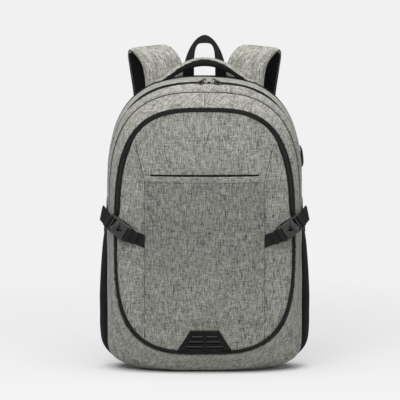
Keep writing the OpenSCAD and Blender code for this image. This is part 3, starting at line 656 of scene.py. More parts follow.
# body walls
walls = {"thick": 0.003, "tape": 0.007, "gap": 0.00025, "lip": (-0.00015, 0.0038), "puff": 0.0016,
         "rumple": 0.0009, "fine": 0.0003, "seamY": -0.051, "seamGap": 0.0107, "sag": 0.0055,
         "rearEdge": 0.0019, "frontEdge": -0.0014}


def pinch(v, low=0.10, high=0.10):  # falls to nothing at the seams
    return ease(v / low) * ease((1 - v) / high)


def lip(k):  # how far the cloth edges stand back from the zip's middle, a bare seam near the base
    return lerp(*walls["lip"], ease((skin(k, zipDepth(k)).z - 0.045) / 0.09))


def pulled(p, share, low=0.03):  # seams pull the cloth in, less and less towards the base
    return lerp(1.0, share, ease((p.z - low) / 0.06))


def crown(p):  # 1 along the top of the body
    return ease((p.z - 0.40) / 0.04)


def fullness(p, puff):
    return puff + rumple(p, 19, walls["rumple"]) + rumple(p, 55, walls["fine"])


def rearWallPoint(u, v):
    k = u * ringCount
    y = lerp(zipDepth(k) + walls["gap"] + lip(k), bag["backY"], v)
    p = skin(k, y)
    edge = walls["rearEdge"] * ease(1 - v / 0.08) * crown(p)
    return skin(k, y, edge + pulled(p, pinch(v)) * fullness(p, walls["puff"]))


def seamDepth(k):
    return min(walls["seamY"], zipDepth(k) - walls["seamGap"])


def frontWallPoint(u, v):
    k = u * ringCount
    start, seam = zipDepth(k) - walls["gap"] - lip(k), seamDepth(k)
    share = v / 0.5 if v < 0.5 else (v - 0.5) / 0.5
    y = lerp(start, seam, share) if v < 0.5 else lerp(seam, bag["rimY"] + 0.0005, share)
    p = skin(k, y)
    edge = walls["frontEdge"] * ease(1 - v / 0.12) * crown(p)
    q = skin(k, y, edge + pulled(p, pinch(share, 0.16, 0.16), 0.22) * fullness(p, walls["puff"] * 0.8))
    sag = ease((y - bag["rimY"]) / 0.016) * ease((0.07 - q.z) / 0.06) * ease((-0.004 - y) / 0.02)
    return Vector((q.x, q.y, max(q.z - walls["sag"] * sag, 0.0004)))


def makeWalls():
    rear = gridPiece("rearWall", ringCount, 30, rearWallPoint, ring=True, flip=True)
    thicken(rear, walls["thick"], lined=True, edge=2)
    dress(rear, "body lining tape", "body_cloth", "bag", "rear_gusset")
    front = gridPiece("frontWall", ringCount, 28, frontWallPoint, ring=True)
    thicken(front, walls["thick"], lined=True)
    dress(front, "body lining", "body_cloth", "front_half", "front_gusset")


cords = {"rear": 0.0021, "front": 0.0007, "inset": 0.0018, "proud": 0.0014, "rise": 0.0004, "sunk": (-0.0022, 0.0005)}


def frontCordPoint(k):  # sinks into the seam below the buckles
    y = seamDepth(k)
    return skin(k, y, lerp(*cords["sunk"], ease((skin(k, y).z - 0.21) / 0.06)))


def makeCords():
    y, up = bag["backY"] - cords["inset"], Vector((0, 0, cords["rise"]))
    rear = [skin(k, y, cords["proud"]) + up for k in range(ringCount)]
    dress(tubePiece("rearCord", rear, cords["rear"], closed=True), "piping", "piping", "bag", "rear_piping")
    front = tubePiece("frontCord", [frontCordPoint(k) for k in range(ringCount)], cords["front"], closed=True)
    dress(front, "piping", "piping", "front_half", "gusset_piping")


# main zip: two tapes with a row of teeth between them
mainZip = {"thick": 0.0012, "pitch": 0.0026, "tooth": (0.0013, 0.0030, 0.0016), "toothY": 0.0016, "sunk": -0.0006}


def zipTapePoint(side):
    def place(u, v):
        k = u * ringCount
        y = zipDepth(k) + side * lerp(walls["gap"], walls["tape"] + 0.0004, v)
        return skin(k, y, -0.0012 + 0.0004 * sin(pi * v))
    return place


def smallBlock(size, edge):
    dropPick()
    bpy.ops.mesh.primitive_cube_add(size=1)
    obj = bpy.context.object
    obj.scale = size
    bpy.ops.object.transform_apply(scale=True)
    soften(obj, edge, 1)
    return obj


def toothUnit(size):
    return smallBlock(size, min(size) * 0.28)


def rowPlaces(path, pitch, side, closed=True):  # a matrix at each step along the path: run, side, up
    count = int(sum((q - p).length for p, q in zip(path, path[1:])) / pitch)
    even = evenPath(path + ([path[0]] if closed else []), count + 1)
    made = []
    for i in range(count):
        t = (even[i + 1] - even[i]).normalized()
        s = Vector(side)
        s = (s - t * s.dot(t)).normalized()
        m = Matrix((t, s, t.cross(s))).transposed().to_4x4()
        m.translation = even[i].lerp(even[i + 1], 0.5)
        made.append(m)
    return made


def makeMainZip():
    for name, side, node, body in (("rearTape", 1, "rear_zip_tape", "bag"),
                                   ("frontTape", -1, "front_zip_tape", "front_half")):
        clothPiece(name, ringCount, 6, zipTapePoint(side), mainZip["thick"], "tape", "zip_tape", body, node,
                   ring=True, flip=side > 0)
        line = [skin(k, zipDepth(k) + side * mainZip["toothY"], mainZip["sunk"]) for k in range(ringCount)]
        teeth = rowOf(name + "Teeth", toothUnit(mainZip["tooth"]), rowPlaces(line, mainZip["pitch"], (0, 1, 0)))
        dress(teeth, "teeth", "zip_tape", body, angle=30)


makeWalls()
makeCords()
makeMainZip()
print("walls and main zip made")

# front panel, one domed cloth
face = {"y": -0.0733, "dome": 0.014, "midZ": 0.215, "a": 0.1359, "up": 0.1974, "down": 0.1789, "power": 3.15,
        "lowEdge": 0.0046, "topEdge": 0.0092, "thick": 0.0022,
        "foldLow": (0, -0.09, 0.2440), "foldHigh": (0, -0.09, 0.2580)}


def faceReach(x, z):  # 0 at the middle, 1 at the zip
    b = face["up"] if z > face["midZ"] else face["down"]
    n = face["power"]
    return ((abs(x) / face["a"]) ** n + (abs(z - face["midZ"]) / b) ** n) ** (1 / n)


def faceDepth(x, z):
    return face["y"] - face["dome"] * (1 - min(1.0, faceReach(x, z)) ** 2.4)


def panelY(x, z):
    return faceDepth(x, z) + crease(x, z) - rumple((x, 0, z), 17, 0.0008) * ease((1 - faceReach(x, z)) / 0.12)


def onPanel(x, z, out):
    return Vector((x, panelY(x, z) - out, z))


def panelPoint(u, v):
    k = u * ringCount
    z = outlineAt(bag["rim"], k)[1]
    inset = lerp(face["lowEdge"], face["topEdge"], ease((z - 0.236) / 0.028))
    over = ease((z - 0.33) / 0.07)  # at the top the cloth laps over the tape
    inset -= 0.0030 * over
    ex, ez = outlineAt(grown(bag["rim"], -inset), k)
    s = 1 - (1 - v) ** 1.5
    x, z = ex * s, lerp(face["midZ"], ez, s)
    roll = lerp(0.0016, -0.0006, over) * max(0.0, (s - 0.965) / 0.035) ** 2
    return Vector((x, panelY(x, z) + roll, z))


def seamX(z):  # side seams: straight up from the base, then out to the zip above the slit
    return lerp(0.0935, 0.1070, max(0.0, (z - 0.307) / 0.054))


def crease(x, z):  # the cloth dips along the seams and lies a little lower outside them
    d = abs(x) - seamX(z)
    fade = ease((0.372 - z) / 0.03) * ease((z - 0.045) / 0.03)
    return fade * (0.0007 * exp(-(d / 0.0022) ** 2) + 0.0008 * ease(d / 0.006) * ease((0.03 - d) / 0.02))


def flatXz(p):
    return (p.x, p.z)


def foldsWithFlap(obj):
    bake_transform(obj)


# slash pocket with its hem, and a dark strip in its slit that is painted shade in the gap
slash = {"width": 0.188, "low": 0.075, "high": 0.3112, "room": 0.007, "thick": 0.0016, "hem": (0.0088, 0.0024),
         "slitShade": (0.0842, 0.296, 0.3147), "slitShadeThick": 0.0006}


def slashPoint(u, v):
    x = slash["width"] * (u - 0.5)
    z = lerp(slash["low"], slash["high"], v)
    room = 0.0003 + slash["room"] * (1 - abs(2 * u - 1) ** 2.2) * v ** 0.6
    sewn = min(ease((1 - abs(2 * u - 1)) / 0.10), ease(v / 0.06))  # flush where it is sewn down
    soft = rumple((x, 0.3, z), 15, 0.0009) * ease(min(u, 1 - u) / 0.12) * ease(v / 0.1)
    return Vector((x, faceDepth(x, z) - lerp(0.0, room + slash["thick"], sewn) - soft, z))


# where the dark strip behind the slit lies: painted shade of the slit's gap
def slitShadePoint(u, v):
    half, low, high = slash["slitShade"]
    return onPanel(lerp(-half, half, u), lerp(low, high, v), 0.0003)


def makePanel():
    panel = gridPiece("frontPanel", ringCount, 34, panelPoint, ring=True, flip=True, flatUv=flatXz)
    thicken(panel, face["thick"], lined=True)
    dress(panel, "panel lining", "panel_cloth", None, "front_panel front_flap")
    pocket = clothPiece("slashPocket", 72, 88, slashPoint, slash["thick"] * 0.9, "pocket", "panel_cloth", None,
                        "slash_pocket_lower slash_pocket_flap", flatUv=flatXz)
    foldsWithFlap(panel)
    foldsWithFlap(pocket)
    path = [slashPoint(lerp(0.004, 0.996, i / 60), 1.0) + Vector((0, 0.0007, -0.0035)) for i in range(61)]
    hem = stripPiece("slashHem", path, (0, 0, 1), lambda t: webbingSection(*slash["hem"]))
    dress(hem, "panel", "panel_cloth", "pocket_flap")
    # the near-black strip behind the slit is painted shade of the slit's gap
    clothPiece("slashSlitShade", 60, 4, slitShadePoint, slash["slitShadeThick"], "tape", "lining_cloth", "pocket_flap",
               offset=1.0)


# sewn lines of the front: dark seam lines that are painted shade in the seam creases, and raised stitches of thread
stitch = {"long": 0.0013, "wide": 0.0003, "pitch": 0.0036, "seam": 0.00045, "crown": 0.0004, "away": 0.0034}


def stitchRow(name, path, side=(0, 1, 0), closed=False):  # short raised threads along a sewn line
    dropPick()
    bpy.ops.mesh.primitive_ico_sphere_add(subdivisions=1, radius=1)
    unit = bpy.context.object
    unit.scale = (stitch["long"], stitch["wide"], stitch["wide"])
    bpy.ops.object.transform_apply(scale=True)
    return rowOf(name, unit, rowPlaces(path, stitch["pitch"], side, closed))


# dark finish for stitches, which are thread, and for seam lines, which are painted shade
def sewThreadAndSeamShade(obj, body=None):
    dress(obj, "threadAndSeamShade", "piping", body, angle=60)
    if not body:
        foldsWithFlap(obj)


def makeFrontSeams():
    heights = [lerp(0.056, 0.362, i / 90) for i in range(91)]
    for word, cap, side in bothSides:
        line = [onPanel(side * seamX(z), z, 0.0001) for z in heights]
        # a dark tube along each side seam: painted shade in its crease
        sewThreadAndSeamShade(tubePiece("sideSeam" + cap, line, stitch["seam"], sides=6))
        line = [onPanel(side * (seamX(z) + stitch["away"]), z, 0.00015) for z in heights[3:]]
        sewThreadAndSeamShade(stitchRow("sideStitches" + cap, line))
    for cap, u in (("Left", 0.004), ("Right", 0.996)):
        line = [slashPoint(u, lerp(0.02, 1.0, i / 80)) for i in range(81)]
        # dark tubes down the slash pocket's sides: painted shade at its sewn edges
        sewThreadAndSeamShade(tubePiece("slashSide" + cap, line, stitch["wide"], sides=6))
    line = [slashPoint(lerp(0.012, 0.988, i / 80), 0.966) - Vector((0, 0.0014, 0)) for i in range(81)]
    sewThreadAndSeamShade(stitchRow("slashStitches", line), "pocket_flap")
    mid = bag["topSteps"] / 2 / ringCount
    line = [frontWallPoint(mid, lerp(0.52, 0.99, i / 24)) for i in range(25)]
    # a dark tube down the crown's middle seam: painted shade in its crease
    sewThreadAndSeamShade(tubePiece("crownSeam", line, stitch["crown"], sides=6), "front_half")
    for word, v in (("Upper", 0.44), ("Lower", 0.56)):
        line = [frontWallPoint(k / ringCount, v) for k in range(ringCount)]
        sewThreadAndSeamShade(stitchRow("crownStitches" + word, line, closed=True), "front_half")


# front pocket zip
pocketZip = {"width": 0.0043, "pitch": 0.0024, "tooth": (0.0012, 0.0022, 0.0014), "thick": 0.0014, "proud": 0.0007,
             "flap": (0.0046, 0.0091), "ends": 1.48, "flapLow": 0.2505}


def rimPoint(k, inset, y):
    x, z = outlineAt(grown(bag["rim"], -inset), k)
    return Vector((x, y, z))


def pocketTapePoint(u, v):
    y = face["y"] + 0.0004 - 0.0008 * sin(pi * v)
    return rimPoint(u * ringCount, lerp(0.0, pocketZip["width"], v), y)


def flapTapePoint(u, v):
    k = lerp(pocketZip["ends"], bag["topSteps"] - pocketZip["ends"], u)  # starts just above the fold
    p = rimPoint(k, lerp(*pocketZip["flap"], v), face["y"] + 0.0003 - 0.0006 * sin(pi * v))
    p.z = max(p.z, pocketZip["flapLow"])
    return p


def makePocketZip():
    top = bag["topSteps"]
    clothPiece("pocketTape", ringCount, 5, pocketTapePoint, pocketZip["thick"], "tape", "zip_tape", "front_half",
               "pocket_zip_tape", ring=True)
    clothPiece("flapTape", top, 5, flapTapePoint, pocketZip["thick"], "tape", "zip_tape", "pocket_flap",
               "flap_zip_tape")
    for name, inset, body in (("pocketTeeth", 0.0037, "front_half"), ("flapTeeth", 0.0053, "pocket_flap")):
        line = [rimPoint(k, inset, face["y"] - pocketZip["proud"]) for k in range(2, top - 1)]
        places = rowPlaces(line, pocketZip["pitch"], (0, 1, 0), closed=False)
        places = [m @ Matrix.Rotation(pi / 2, 4, "X") for m in places]
        teeth = rowOf(name, toothUnit(pocketZip["tooth"]), places)
        dress(teeth, "teeth", "zip_tape", body, angle=30)


# rubber patch at the bottom of the front
patch = {"low": 0.0371, "high": 0.0701, "wide": 0.085, "narrow": 0.044, "thick": 0.0032, "shell": 0.0009,
         "slots": ((0.0592, 0.0024, 0.0200), (0.0510, 0.0024, 0.0248), (0.0429, 0.0024, 0.0296)), "slotHalf": 0.0021}


def louvre(d):  # a slat that leans out to the light above each slot
    if d < -0.0003:
        return 0.0016 * max(0.0, d + patch["slotHalf"]) / 0.0018 - 0.0004 * ease((d + 0.0026) / 0.0005)
    return lerp(0.0012, -0.0018, ease((d + 0.0003) / 0.0005)) * ease((0.0026 - d) / 0.0006)


def patchPoint(u, v):
    z = lerp(patch["low"], patch["high"], v)
    x = lerp(patch["wide"], patch["narrow"], v) * (u - 0.5)
    edge = min(min(u, 1 - u) * lerp(patch["wide"], patch["narrow"], v), (z - patch["low"]), patch["high"] - z)
    h = patch["thick"] * (0.30 + 0.70 * ease(edge / 0.0022))
    h -= 0.0007 * ease((edge - 0.0030) / 0.0012)  # a raised rim runs round it
    for mid, near, far in patch["slots"]:
        inX = ease((min(abs(x) - near, far - abs(x)) + 0.0003) / 0.0008)
        h += inX * louvre(mid - z)
    h += 0.0006 * ease((0.0016 - abs(x)) / 0.0008)
    return Vector((x, faceDepth(x, z) - 0.0003 - h, z))


def makePatch():
    clothPiece("rubberPatch", 150, 150, patchPoint, patch["shell"], "rubber", "patch_rubber", "front_half",
               "rubber_patch", angle=50, flatUv=flatXz)


makePanel()
makeFrontSeams()
makePocketZip()
makePatch()
print("front made")

# compression straps and buckles, worked out on the left and mirrored to the right
clip = {"at": Vector((-0.1325, -0.0819249, 0.231)), "u": Vector((-0.77936, 0.314882, 0.541708)),
        "v": Vector((-0.502263, 0.202927, -0.840567)), "n": Vector((-0.374607, -0.927184, 0.0)),
        "width": 0.020, "thick": 0.0015, "edge": 0.0009, "prongEdge": 0.0005,
        "window": ((0.0012, -0.0056), (0.0012, 0.0056), (-0.0082, 0.0)), "windowTop": 0.0080,
        "rib": (0.0006, 0.0005, 0.0030), "ribEdge": 0.00018, "ribAt": (-0.0034, 0.0011, 0.01262)}


def onSide(p, side):  # side -1 is the left
    return Vector((-p[0] * side, p[1], p[2]))


def atClip(a, b, c):
    return clip["at"] + clip["u"] * a + clip["v"] * b + clip["n"] * c


def frontStrapPath():
    start = Vector((-0.0800, faceDepth(0.0800, 0.2050) - 0.0012, 0.2050))
    mid = Vector((-0.106, faceDepth(0.106, 0.2150) - 0.0017, 0.2150))
    loop = [(-0.0265, -0.0047), (-0.0215, -0.0053), (-0.0165, -0.0051), (-0.0150, -0.0030), (-0.0150, 0.0022),
            (-0.0163, 0.0048), (-0.0190, 0.0053), (-0.0212, 0.0040), (-0.0236, -0.0006), (-0.0272, -0.0026),
            (-0.0315, -0.0022)]
    return smoothPath([start, mid] + [atClip(a, 0, c) for a, c in loop], 72)


def tailPath():
    run = [(0.0171, 0, -0.0050), (0.0170, 0, 0.0010), (0.0178, 0, 0.0046), (0.0199, 0, 0.0054), (0.0222, 0, 0.0038),
           (0.0252, -0.0003, 0.0012), (0.0290, -0.0012, 0.0002), (0.0352, -0.0030, 0.0), (0.0430, -0.0052, 0.0)]
    return smoothPath([atClip(*q) for q in run], 44)


def sideStrapPath():
    pts = [(-(sideX(0.0658, 0.2604) + 0.0011), 0.0658, 0.2604), (-(sideX(0.020, 0.2604) + 0.0021), 0.020, 0.2550),
           (-0.1523, -0.0369, 0.2460), (-0.1533, -0.0478, 0.2424), (-0.1531, -0.0640, 0.2424)]
    return smoothPath(pts + [tuple(atClip(0.0212, 0, -0.0068))], 60)


def sideStrapAcross(t):
    return Vector((0, 0, 1)).lerp(-clip["v"], ease((t - 0.75) / 0.25))


def mirrorPiece(obj, side):
    if side > 0:
        for v in obj.data.vertices:
            v.co.x = -v.co.x
        editAll(obj, bpy.ops.mesh.flip_normals)
    return obj


def clipGrip(name, sign):  # raised finger ribs on a prong's outer side
    unit = smallBlock(clip["rib"], clip["ribEdge"])
    turn = Matrix((clip["u"], clip["v"], clip["n"])).transposed().to_4x4()
    first, step, out = clip["ribAt"]
    places = []
    for i in range(3):
        m = turn.copy()
        m.translation = atClip(first - step * i, sign * out, 0)
        places.append(m)
    return rowOf(name, unit, places)


def cutWindow(obj, side, deep):  # a three-cornered window in the socket, with a hollow in the blade under it
    rows = [[onSide(atClip(a, b, c), side) for a, b in clip["window"]] for c in (deep, clip["windowTop"])]
    mesh = bpy.data.meshes.new("windowCutter")
    mesh.from_pydata(rows[0] + rows[1], [], [(0, 1, 2), (5, 4, 3), (0, 3, 4, 1), (1, 4, 5, 2), (2, 5, 3, 0)])
    cutter = newObject("windowCutter", mesh)
    editAll(cutter, faceOut)
    m = obj.modifiers.new("window", "BOOLEAN")
    m.operation, m.object = "DIFFERENCE", cutter
    applyStack(obj)
    bpy.data.objects.remove(cutter)


def trim(obj, at, normal):
    editAll(obj, lambda: bpy.ops.mesh.bisect(plane_co=at, plane_no=normal, use_fill=True, clear_outer=True))


def makeClips():
    seam = ((-seamX(0.2) + 0.0006, 0, 0), (1, 0, 0))
    end = ((-0.1612, 0, 0.25), (-1, 0, 0.2))
    for word, cap, side in bothSides:
        for name, node, deep, body in (("clipSocket", "buckle_female_", 0.0018, "front_half"),
                                       ("clipPlug", "buckle_male_", -0.0012, "clip_" + word)):
            half = nodeCopy(name + cap, node + word)
            cutWindow(half, side, deep)
            soften(half, clip["edge"], 3)
            dress(half, "plastic", "buckle_plastic", body, angle=35)
        for level, sign in (("upper", -1), ("lower", 1)):
            node, label = "prong_%s_%s" % (level, word), level.capitalize() + cap
            prong = nodeCopy("clipProng" + label, node, clip["prongEdge"])
            grip = mirrorPiece(clipGrip("clipGrip" + label, sign), side)
            for piece in (prong, grip):
                dress(piece, "plastic", "buckle_plastic", node + "_body", angle=35)
        for name, path, across, cut, node, body in (
                ("frontStrap", frontStrapPath(), clip["v"], seam, "strap_front_", "front_half"),
                ("strapTail", tailPath(), clip["v"], end, "strap_tail_", "clip_" + word),
                ("sideStrap", sideStrapPath(), sideStrapAcross, None, "side_webbing_", "bag")):
            web = stripPiece(name + cap, path, across, lambda t: webbingSection(clip["width"], clip["thick"]))
            if cut:
                trim(web, *cut)
            dress(mirrorPiece(web, side), "webbing", "webbing", body, node + word)


# mesh side pockets with an elastic hem
sidePocket = {"front": -0.0109, "rear": 0.060, "low": 0.014, "top": 0.214, "hem": 0.009, "room": 0.013,
              "hemRoom": 0.0052, "thick": 0.0012, "hemProud": 0.0020, "hemWave": 0.00022, "hemThick": 0.0021,
              "flat": (0.077, 0.202)}


def pocketOut(v, f):
    full = sidePocket["room"] * sin(pi / 2 * min(1.0, f / 0.45)) ** 0.36
    draw = max(0.0, (f - 0.45) / 0.55) ** 1.6
    bulge = lerp(full, sidePocket["hemRoom"], draw)
    return 0.0004 + 0.0006 * (1 - f) ** 4 + bulge * max(0.0, sin(pi * v)) ** 0.55


def pocketPoint(side, z0, z1, proud, wavy):
    def place(u, v):
        y = lerp(sidePocket["front"], sidePocket["rear"], u)
        z = lerp(z0, z1, v)
        f = min(1.0, max(0.0, (z - sidePocket["low"]) / (sidePocket["top"] - sidePocket["low"])))
        out = pocketOut(u, f) + proud
        out += wavy * sin(u * 150) + rumple((0.2, y, z), 32, 0.0010) * max(0.0, sin(pi * u))
        return onSide((-(sideX(y, z) + out), y, z), side)
    return place


def makePockets():
    low, top = sidePocket["low"], sidePocket["top"]
    for word, cap, side in bothSides:
        place = pocketPoint(side, low, top, sidePocket["thick"], 0.0)
        net = clothPiece("pocketNet" + cap, 48, 80, place, sidePocket["thick"], "pocketMesh", "pocket_mesh", "bag",
                         "mesh_pocket_" + word, flip=side < 0)
        place = pocketPoint(side, top - 0.001, top + sidePocket["hem"], sidePocket["hemProud"], sidePocket["hemWave"])
        clothPiece("pocketHem" + cap, 120, 6, place, sidePocket["hemThick"], "webbing", "webbing", "bag",
                   "pocket_hem_" + word, edge=0.0005, flip=side < 0)


makeClips()
makePockets()
print("clips and side pockets made")

# padded carry handle
handle = {"span": 0.152, "over": 0.4815, "bend": 7.23, "thick": 0.014, "breadth": 0.022, "y": 0.051,
          "neck": 0.0032, "sewn": (0, 0.051, 0.4450), "free": (0, 0.051, 0.4620)}


def handleHalf(x):
    f = abs(x) / (handle["span"] / 2)
    return lerp(handle["breadth"] / 2, handle["neck"], max(0.0, (f - 0.6) / 0.4) ** 1.3)


def handleSection(x):
    half = handleHalf(x)
    under = topHeight(handle["y"] - half, x) + 0.0006
    high = handle["over"] - handle["bend"] * x * x
    low = max(high - handle["thick"], under)
    high = max(high, low + 2 * handle["neck"])
    return half * 0.96, low + 0.0003, high - 0.0003


def handlePoint(u, v):
    x = handle["span"] * (v - 0.5)
    half, low, high = handleSection(x)
    a = 2 * pi * u
    y = half * signedPow(cos(a), 0.62)
    z = (low + high) / 2 + (high - low) / 2 * signedPow(sin(a), 0.72)
    return Vector((x, handle["y"] + y, z))


def handleTrim(p):  # black lining covers the lower part of the front
    half, low, high = handleSection(p.x)
    return lerp(low, high, 0.90 - 0.44 * (abs(p.x) / 0.076) ** 1.2)


def plump(obj, cap, hold, pressure=4.0, frames=20):  # cloth pressure swells the padding, then the mesh is kept
    start = [v.co.copy() for v in obj.data.vertices]
    group = obj.vertex_groups.new(name="sewn")
    group.add([v.index for v in obj.data.vertices if hold(v.co)], 1.0, "REPLACE")
    takeUp(obj)
    cloth = obj.modifiers.new("stuffing", "CLOTH")
    s = cloth.settings
    s.use_pressure, s.uniform_pressure_force = True, pressure
    s.effector_weights.gravity = 0.0
    s.mass, s.quality = 0.3, 5
    s.tension_stiffness = s.compression_stiffness = 20
    s.bending_stiffness = 2.0
    s.vertex_group_mass = "sewn"
    cloth.point_cache.frame_start, cloth.point_cache.frame_end = 1, frames
    for f in range(1, frames + 1):
        bpy.context.scene.frame_set(f)
    bpy.ops.object.modifier_apply(modifier=cloth.name)
    bpy.context.scene.frame_set(1)
    for v, p in zip(obj.data.vertices, start):
        d = v.co - p
        if d.length > cap:
            v.co = p + d * (cap / d.length)
    obj.vertex_groups.clear()


def makeHandle():
    obj = gridPiece("carryHandle", 40, 96, handlePoint, ring=True)
    closeEnds(obj)
    plump(obj, 0.0010, lambda p: abs(p.x) > handle["span"] * 0.44)
    dress(obj, "strap tape", "body_cloth", None, "carry_handle", 60)
    for p in obj.data.polygons:
        if p.center.z < handleTrim(p.center):
            p.material_index = 1
    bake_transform(obj)


# webbing grab loop behind the handle
grab = {"width": 0.068, "web": 0.0175, "top": 0.515, "inTop": 0.502, "low": 0.44953, "y": 0.0696, "thick": 0.0022}


def grabPoint(u, v):
    a = pi * v
    outX, inX = grab["width"] / 2, grab["width"] / 2 - grab["web"]
    outZ = grab["low"] + (grab["top"] - grab["low"]) * sin(a) ** (2 / 1.8)
    inZ = grab["low"] + (grab["inTop"] - grab["low"]) * max(0.0, sin(a)) ** 0.5
    outer = Vector((outX * signedPow(cos(a), 2 / 1.8), 0, outZ))
    p = outer.lerp(Vector((inX * signedPow(cos(a), 0.5), 0, inZ)), u)
    p.y = grab["y"] - grab["thick"] / 2
    return p


def makeGrab():
    obj = gridPiece("grabLoop", 8, 72, grabPoint)
    thicken(obj, grab["thick"])
    editAll(obj, faceOut)
    soften(obj, 0.0005, 2, 50)
    dress(obj, "webbing", "webbing", "loop", "grab_loop")


makeHandle()
makeGrab()
print("handles made")

# padded shoulder straps, grey outside and black mesh inside
strap = {"width": 0.059, "thick": 0.0105, "foldX": 0.063, "foldY": 0.0804, "foldZ": (0.4420, 0.4620),
         "fold": (1, 0, -0.10),
         "route": ((62, 80.1, 390), (62, 80.1, 410), (62, 80.1, 430), (63, 80.4, 448), (66.5, 82.1, 466),
                   (75, 89.1, 481), (86, 101.1, 489), (90, 116.1, 482), (87, 129.1, 455), (81, 138.1, 410),
                   (79, 140.1, 350), (88, 134.1, 290), (100, 124.1, 240)),
         "dropY": 0.098, "dropZ": 0.486, "binding": 0.0016, "anchor": Vector((0.118, 0.0725, 0.0523)),
         "web": (0.025, 0.0016), "webFree": (0.1063, 0.1188, 0.213)}


def strapSection(t):
    width = strap["width"] * (1 - 0.22 * ease((t - 0.93) / 0.07))
    thick = strap["thick"] * (1 - 0.35 * ease((t - 0.95) / 0.05)) * (1 - 0.25 * ease((0.06 - t) / 0.06))
    turn = [2 * pi * j / 240 for j in range(241)]
    fine = [Vector((width / 2 * signedPow(cos(a), 0.42), thick / 2 * signedPow(sin(a), 0.55))) for a in turn]
    return [(p.x, p.y) for p in evenPath(fine, 49)[:-1]]


def lowerWebPath():
    end = Vector((0.100, 0.1241, 0.240))
    run = Vector((0.2291, -0.1909, -0.9546))
    top, low = end + run * 0.0266, strap["anchor"]
    pts = [top, top + run * 0.005, top.lerp(low, 0.3) + Vector((0, 0.002, -0.003)),
           top.lerp(low, 0.65) + Vector((0, 0.001, -0.004)), low + Vector((0, 0.004, 0.014)),
           low + Vector((0, 0.0006, 0.005)), low]
    return smoothPath(pts, 64)


def pickFaces(obj, pick):  # leaves edit mode open with just these faces selected
    takeUp(obj)
    bpy.ops.object.mode_set(mode="EDIT")
    bpy.ops.mesh.select_mode(type="FACE")
    bpy.ops.mesh.select_all(action="DESELECT")
    bpy.ops.object.mode_set(mode="OBJECT")
    for p in obj.data.polygons:
        p.select = pick(p)
    bpy.ops.object.mode_set(mode="EDIT")


def donePicking():
    bpy.ops.mesh.select_mode(type="VERT")
    bpy.ops.object.mode_set(mode="OBJECT")


def splitAt(obj, pick, name):  # parts the picked faces into a piece of their own
    pickFaces(obj, pick)
    bpy.ops.mesh.separate(type="SELECTED")
    donePicking()
    other = [o for o in bpy.context.selected_objects if o is not obj][0]
    other.name = other.data.name = name
    return other


def pastFold(p):  # the strap's free part, beyond its top bend
    return p.y > strap["dropY"] or p.z > strap["dropZ"]


def makePad(cap, word, line, side):
    pad = stripPiece("strapPad" + cap, line, strap["fold"], strapSection, square=False)
    uv = pad.data.uv_layers[0].data
    wide = max(d.uv.x for d in uv)
    for p in pad.data.polygons:  # mesh on the side towards the back
        u = sum(uv[i].uv.x for i in p.loop_indices) / len(p.loop_indices) / wide
        p.material_index = 1 if 0.015 < u < 0.485 else 0
    plump(pad, 0.0012, lambda c: c.y < 0.0905 and c.z < 0.415)
    mirrorPiece(pad, -side)
    drop = splitAt(pad, lambda p: pastFold(p.center), "strapDrop" + cap)
    for piece, body, node in ((pad, None, "strap_root_"), (drop, "strap_" + word, "shoulder_strap_")):
        dress(piece, "strap airMesh", "body_cloth", body, node + word, 60)
    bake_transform(pad)


def makeBindings(cap, word, line, side):
    frames = pathFrames(line, strap["fold"], False)
    halves = [strapSection(i / (len(line) - 1))[0][0] - 0.0002 for i in range(len(line))]
    top = next(i for i, p in enumerate(line) if pastFold(p))
    for edge, sign in (("In", -1), ("Out", 1)):
        rim = [p + w * sign * half for half, (p, t, w, h) in zip(halves, frames)]
        root = mirrorPiece(tubePiece("strapBinding" + edge + "Root" + cap, rim[:top + 1], strap["binding"]), -side)
        dress(root, "strap", "piping")
        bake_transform(root)
        drop = mirrorPiece(tubePiece("strapBinding" + edge + "Drop" + cap, rim[top:], strap["binding"]), -side)
        dress(drop, "airMesh", "piping", "strap_" + word)


def makeStraps():
    line = smoothPath([Vector(p) / 1000 for p in strap["route"]], 110)
    for word, cap, side in bothSides:
        makePad(cap, word, line, side)
        makeBindings(cap, word, line, side)
        slide = nodeCopy("strapSlide" + cap, "strap_adjuster_" + word, 0.0006, 3)
        dress(slide, "plastic", "buckle_plastic", "strap_" + word, angle=35)
        web = stripPiece("strapWebbing" + cap, lowerWebPath(), (1, 0, 0), lambda t: webbingSection(*strap["web"]))
        dress(mirrorPiece(web, -side), "webbing", "webbing", None, "strap_webbing_" + word)
        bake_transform(web)


# back panel, pads, yoke and anchors
back = {"y": 0.071, "inset": 0.0033, "thick": 0.0026, "padWide": 0.092, "padGap": 0.026, "pads": (0.128, 0.363),
        "padThick": 0.0088, "padCloth": 0.0012, "padCell": 0.003, "channel": (0.0032, 0.0032), "every": 0.045,
        "lumbar": (0.176, 0.034, 0.112), "yoke": (0.188, 0.366, 0.412), "yokeThick": 0.0024, "tabThick": 0.0021}


def backPoint(u, v):
    s = 1 - (1 - v) ** 1.3
    ex, ez = outlineAt(grown(bag["rear"], -back["inset"]), u * ringCount)
    x, z = ex * s, lerp(0.23, max(ez, back["inset"]), s)
    return Vector((x, back["y"] - 0.0002, z))


def padPoint(mid, wide, low, high, thick):
    def place(u, v):
        a, b = 2 * u - 1, 2 * v - 1
        roundness = 0.06
        x = mid + wide / 2 * a * sqrt(1 - roundness * b * b)
        z = (low + high) / 2 + (high - low) / 2 * b * sqrt(1 - roundness * 0.6 * a * a)
        rise = (1 - abs(a) ** 5) ** 0.45 * (1 - abs(b) ** 9) ** 0.45
        return Vector((x, back["y"] + 0.0004 + thick * max(0.0, rise), z))
    return place


def channels(obj, heights, depth, reach):  # sewn grooves across a pad
    for v in obj.data.vertices:
        for z in heights:
            v.co.y -= depth * exp(-((v.co.z - z) / reach) ** 2) * ease((v.co.y - back["y"]) / 0.006)


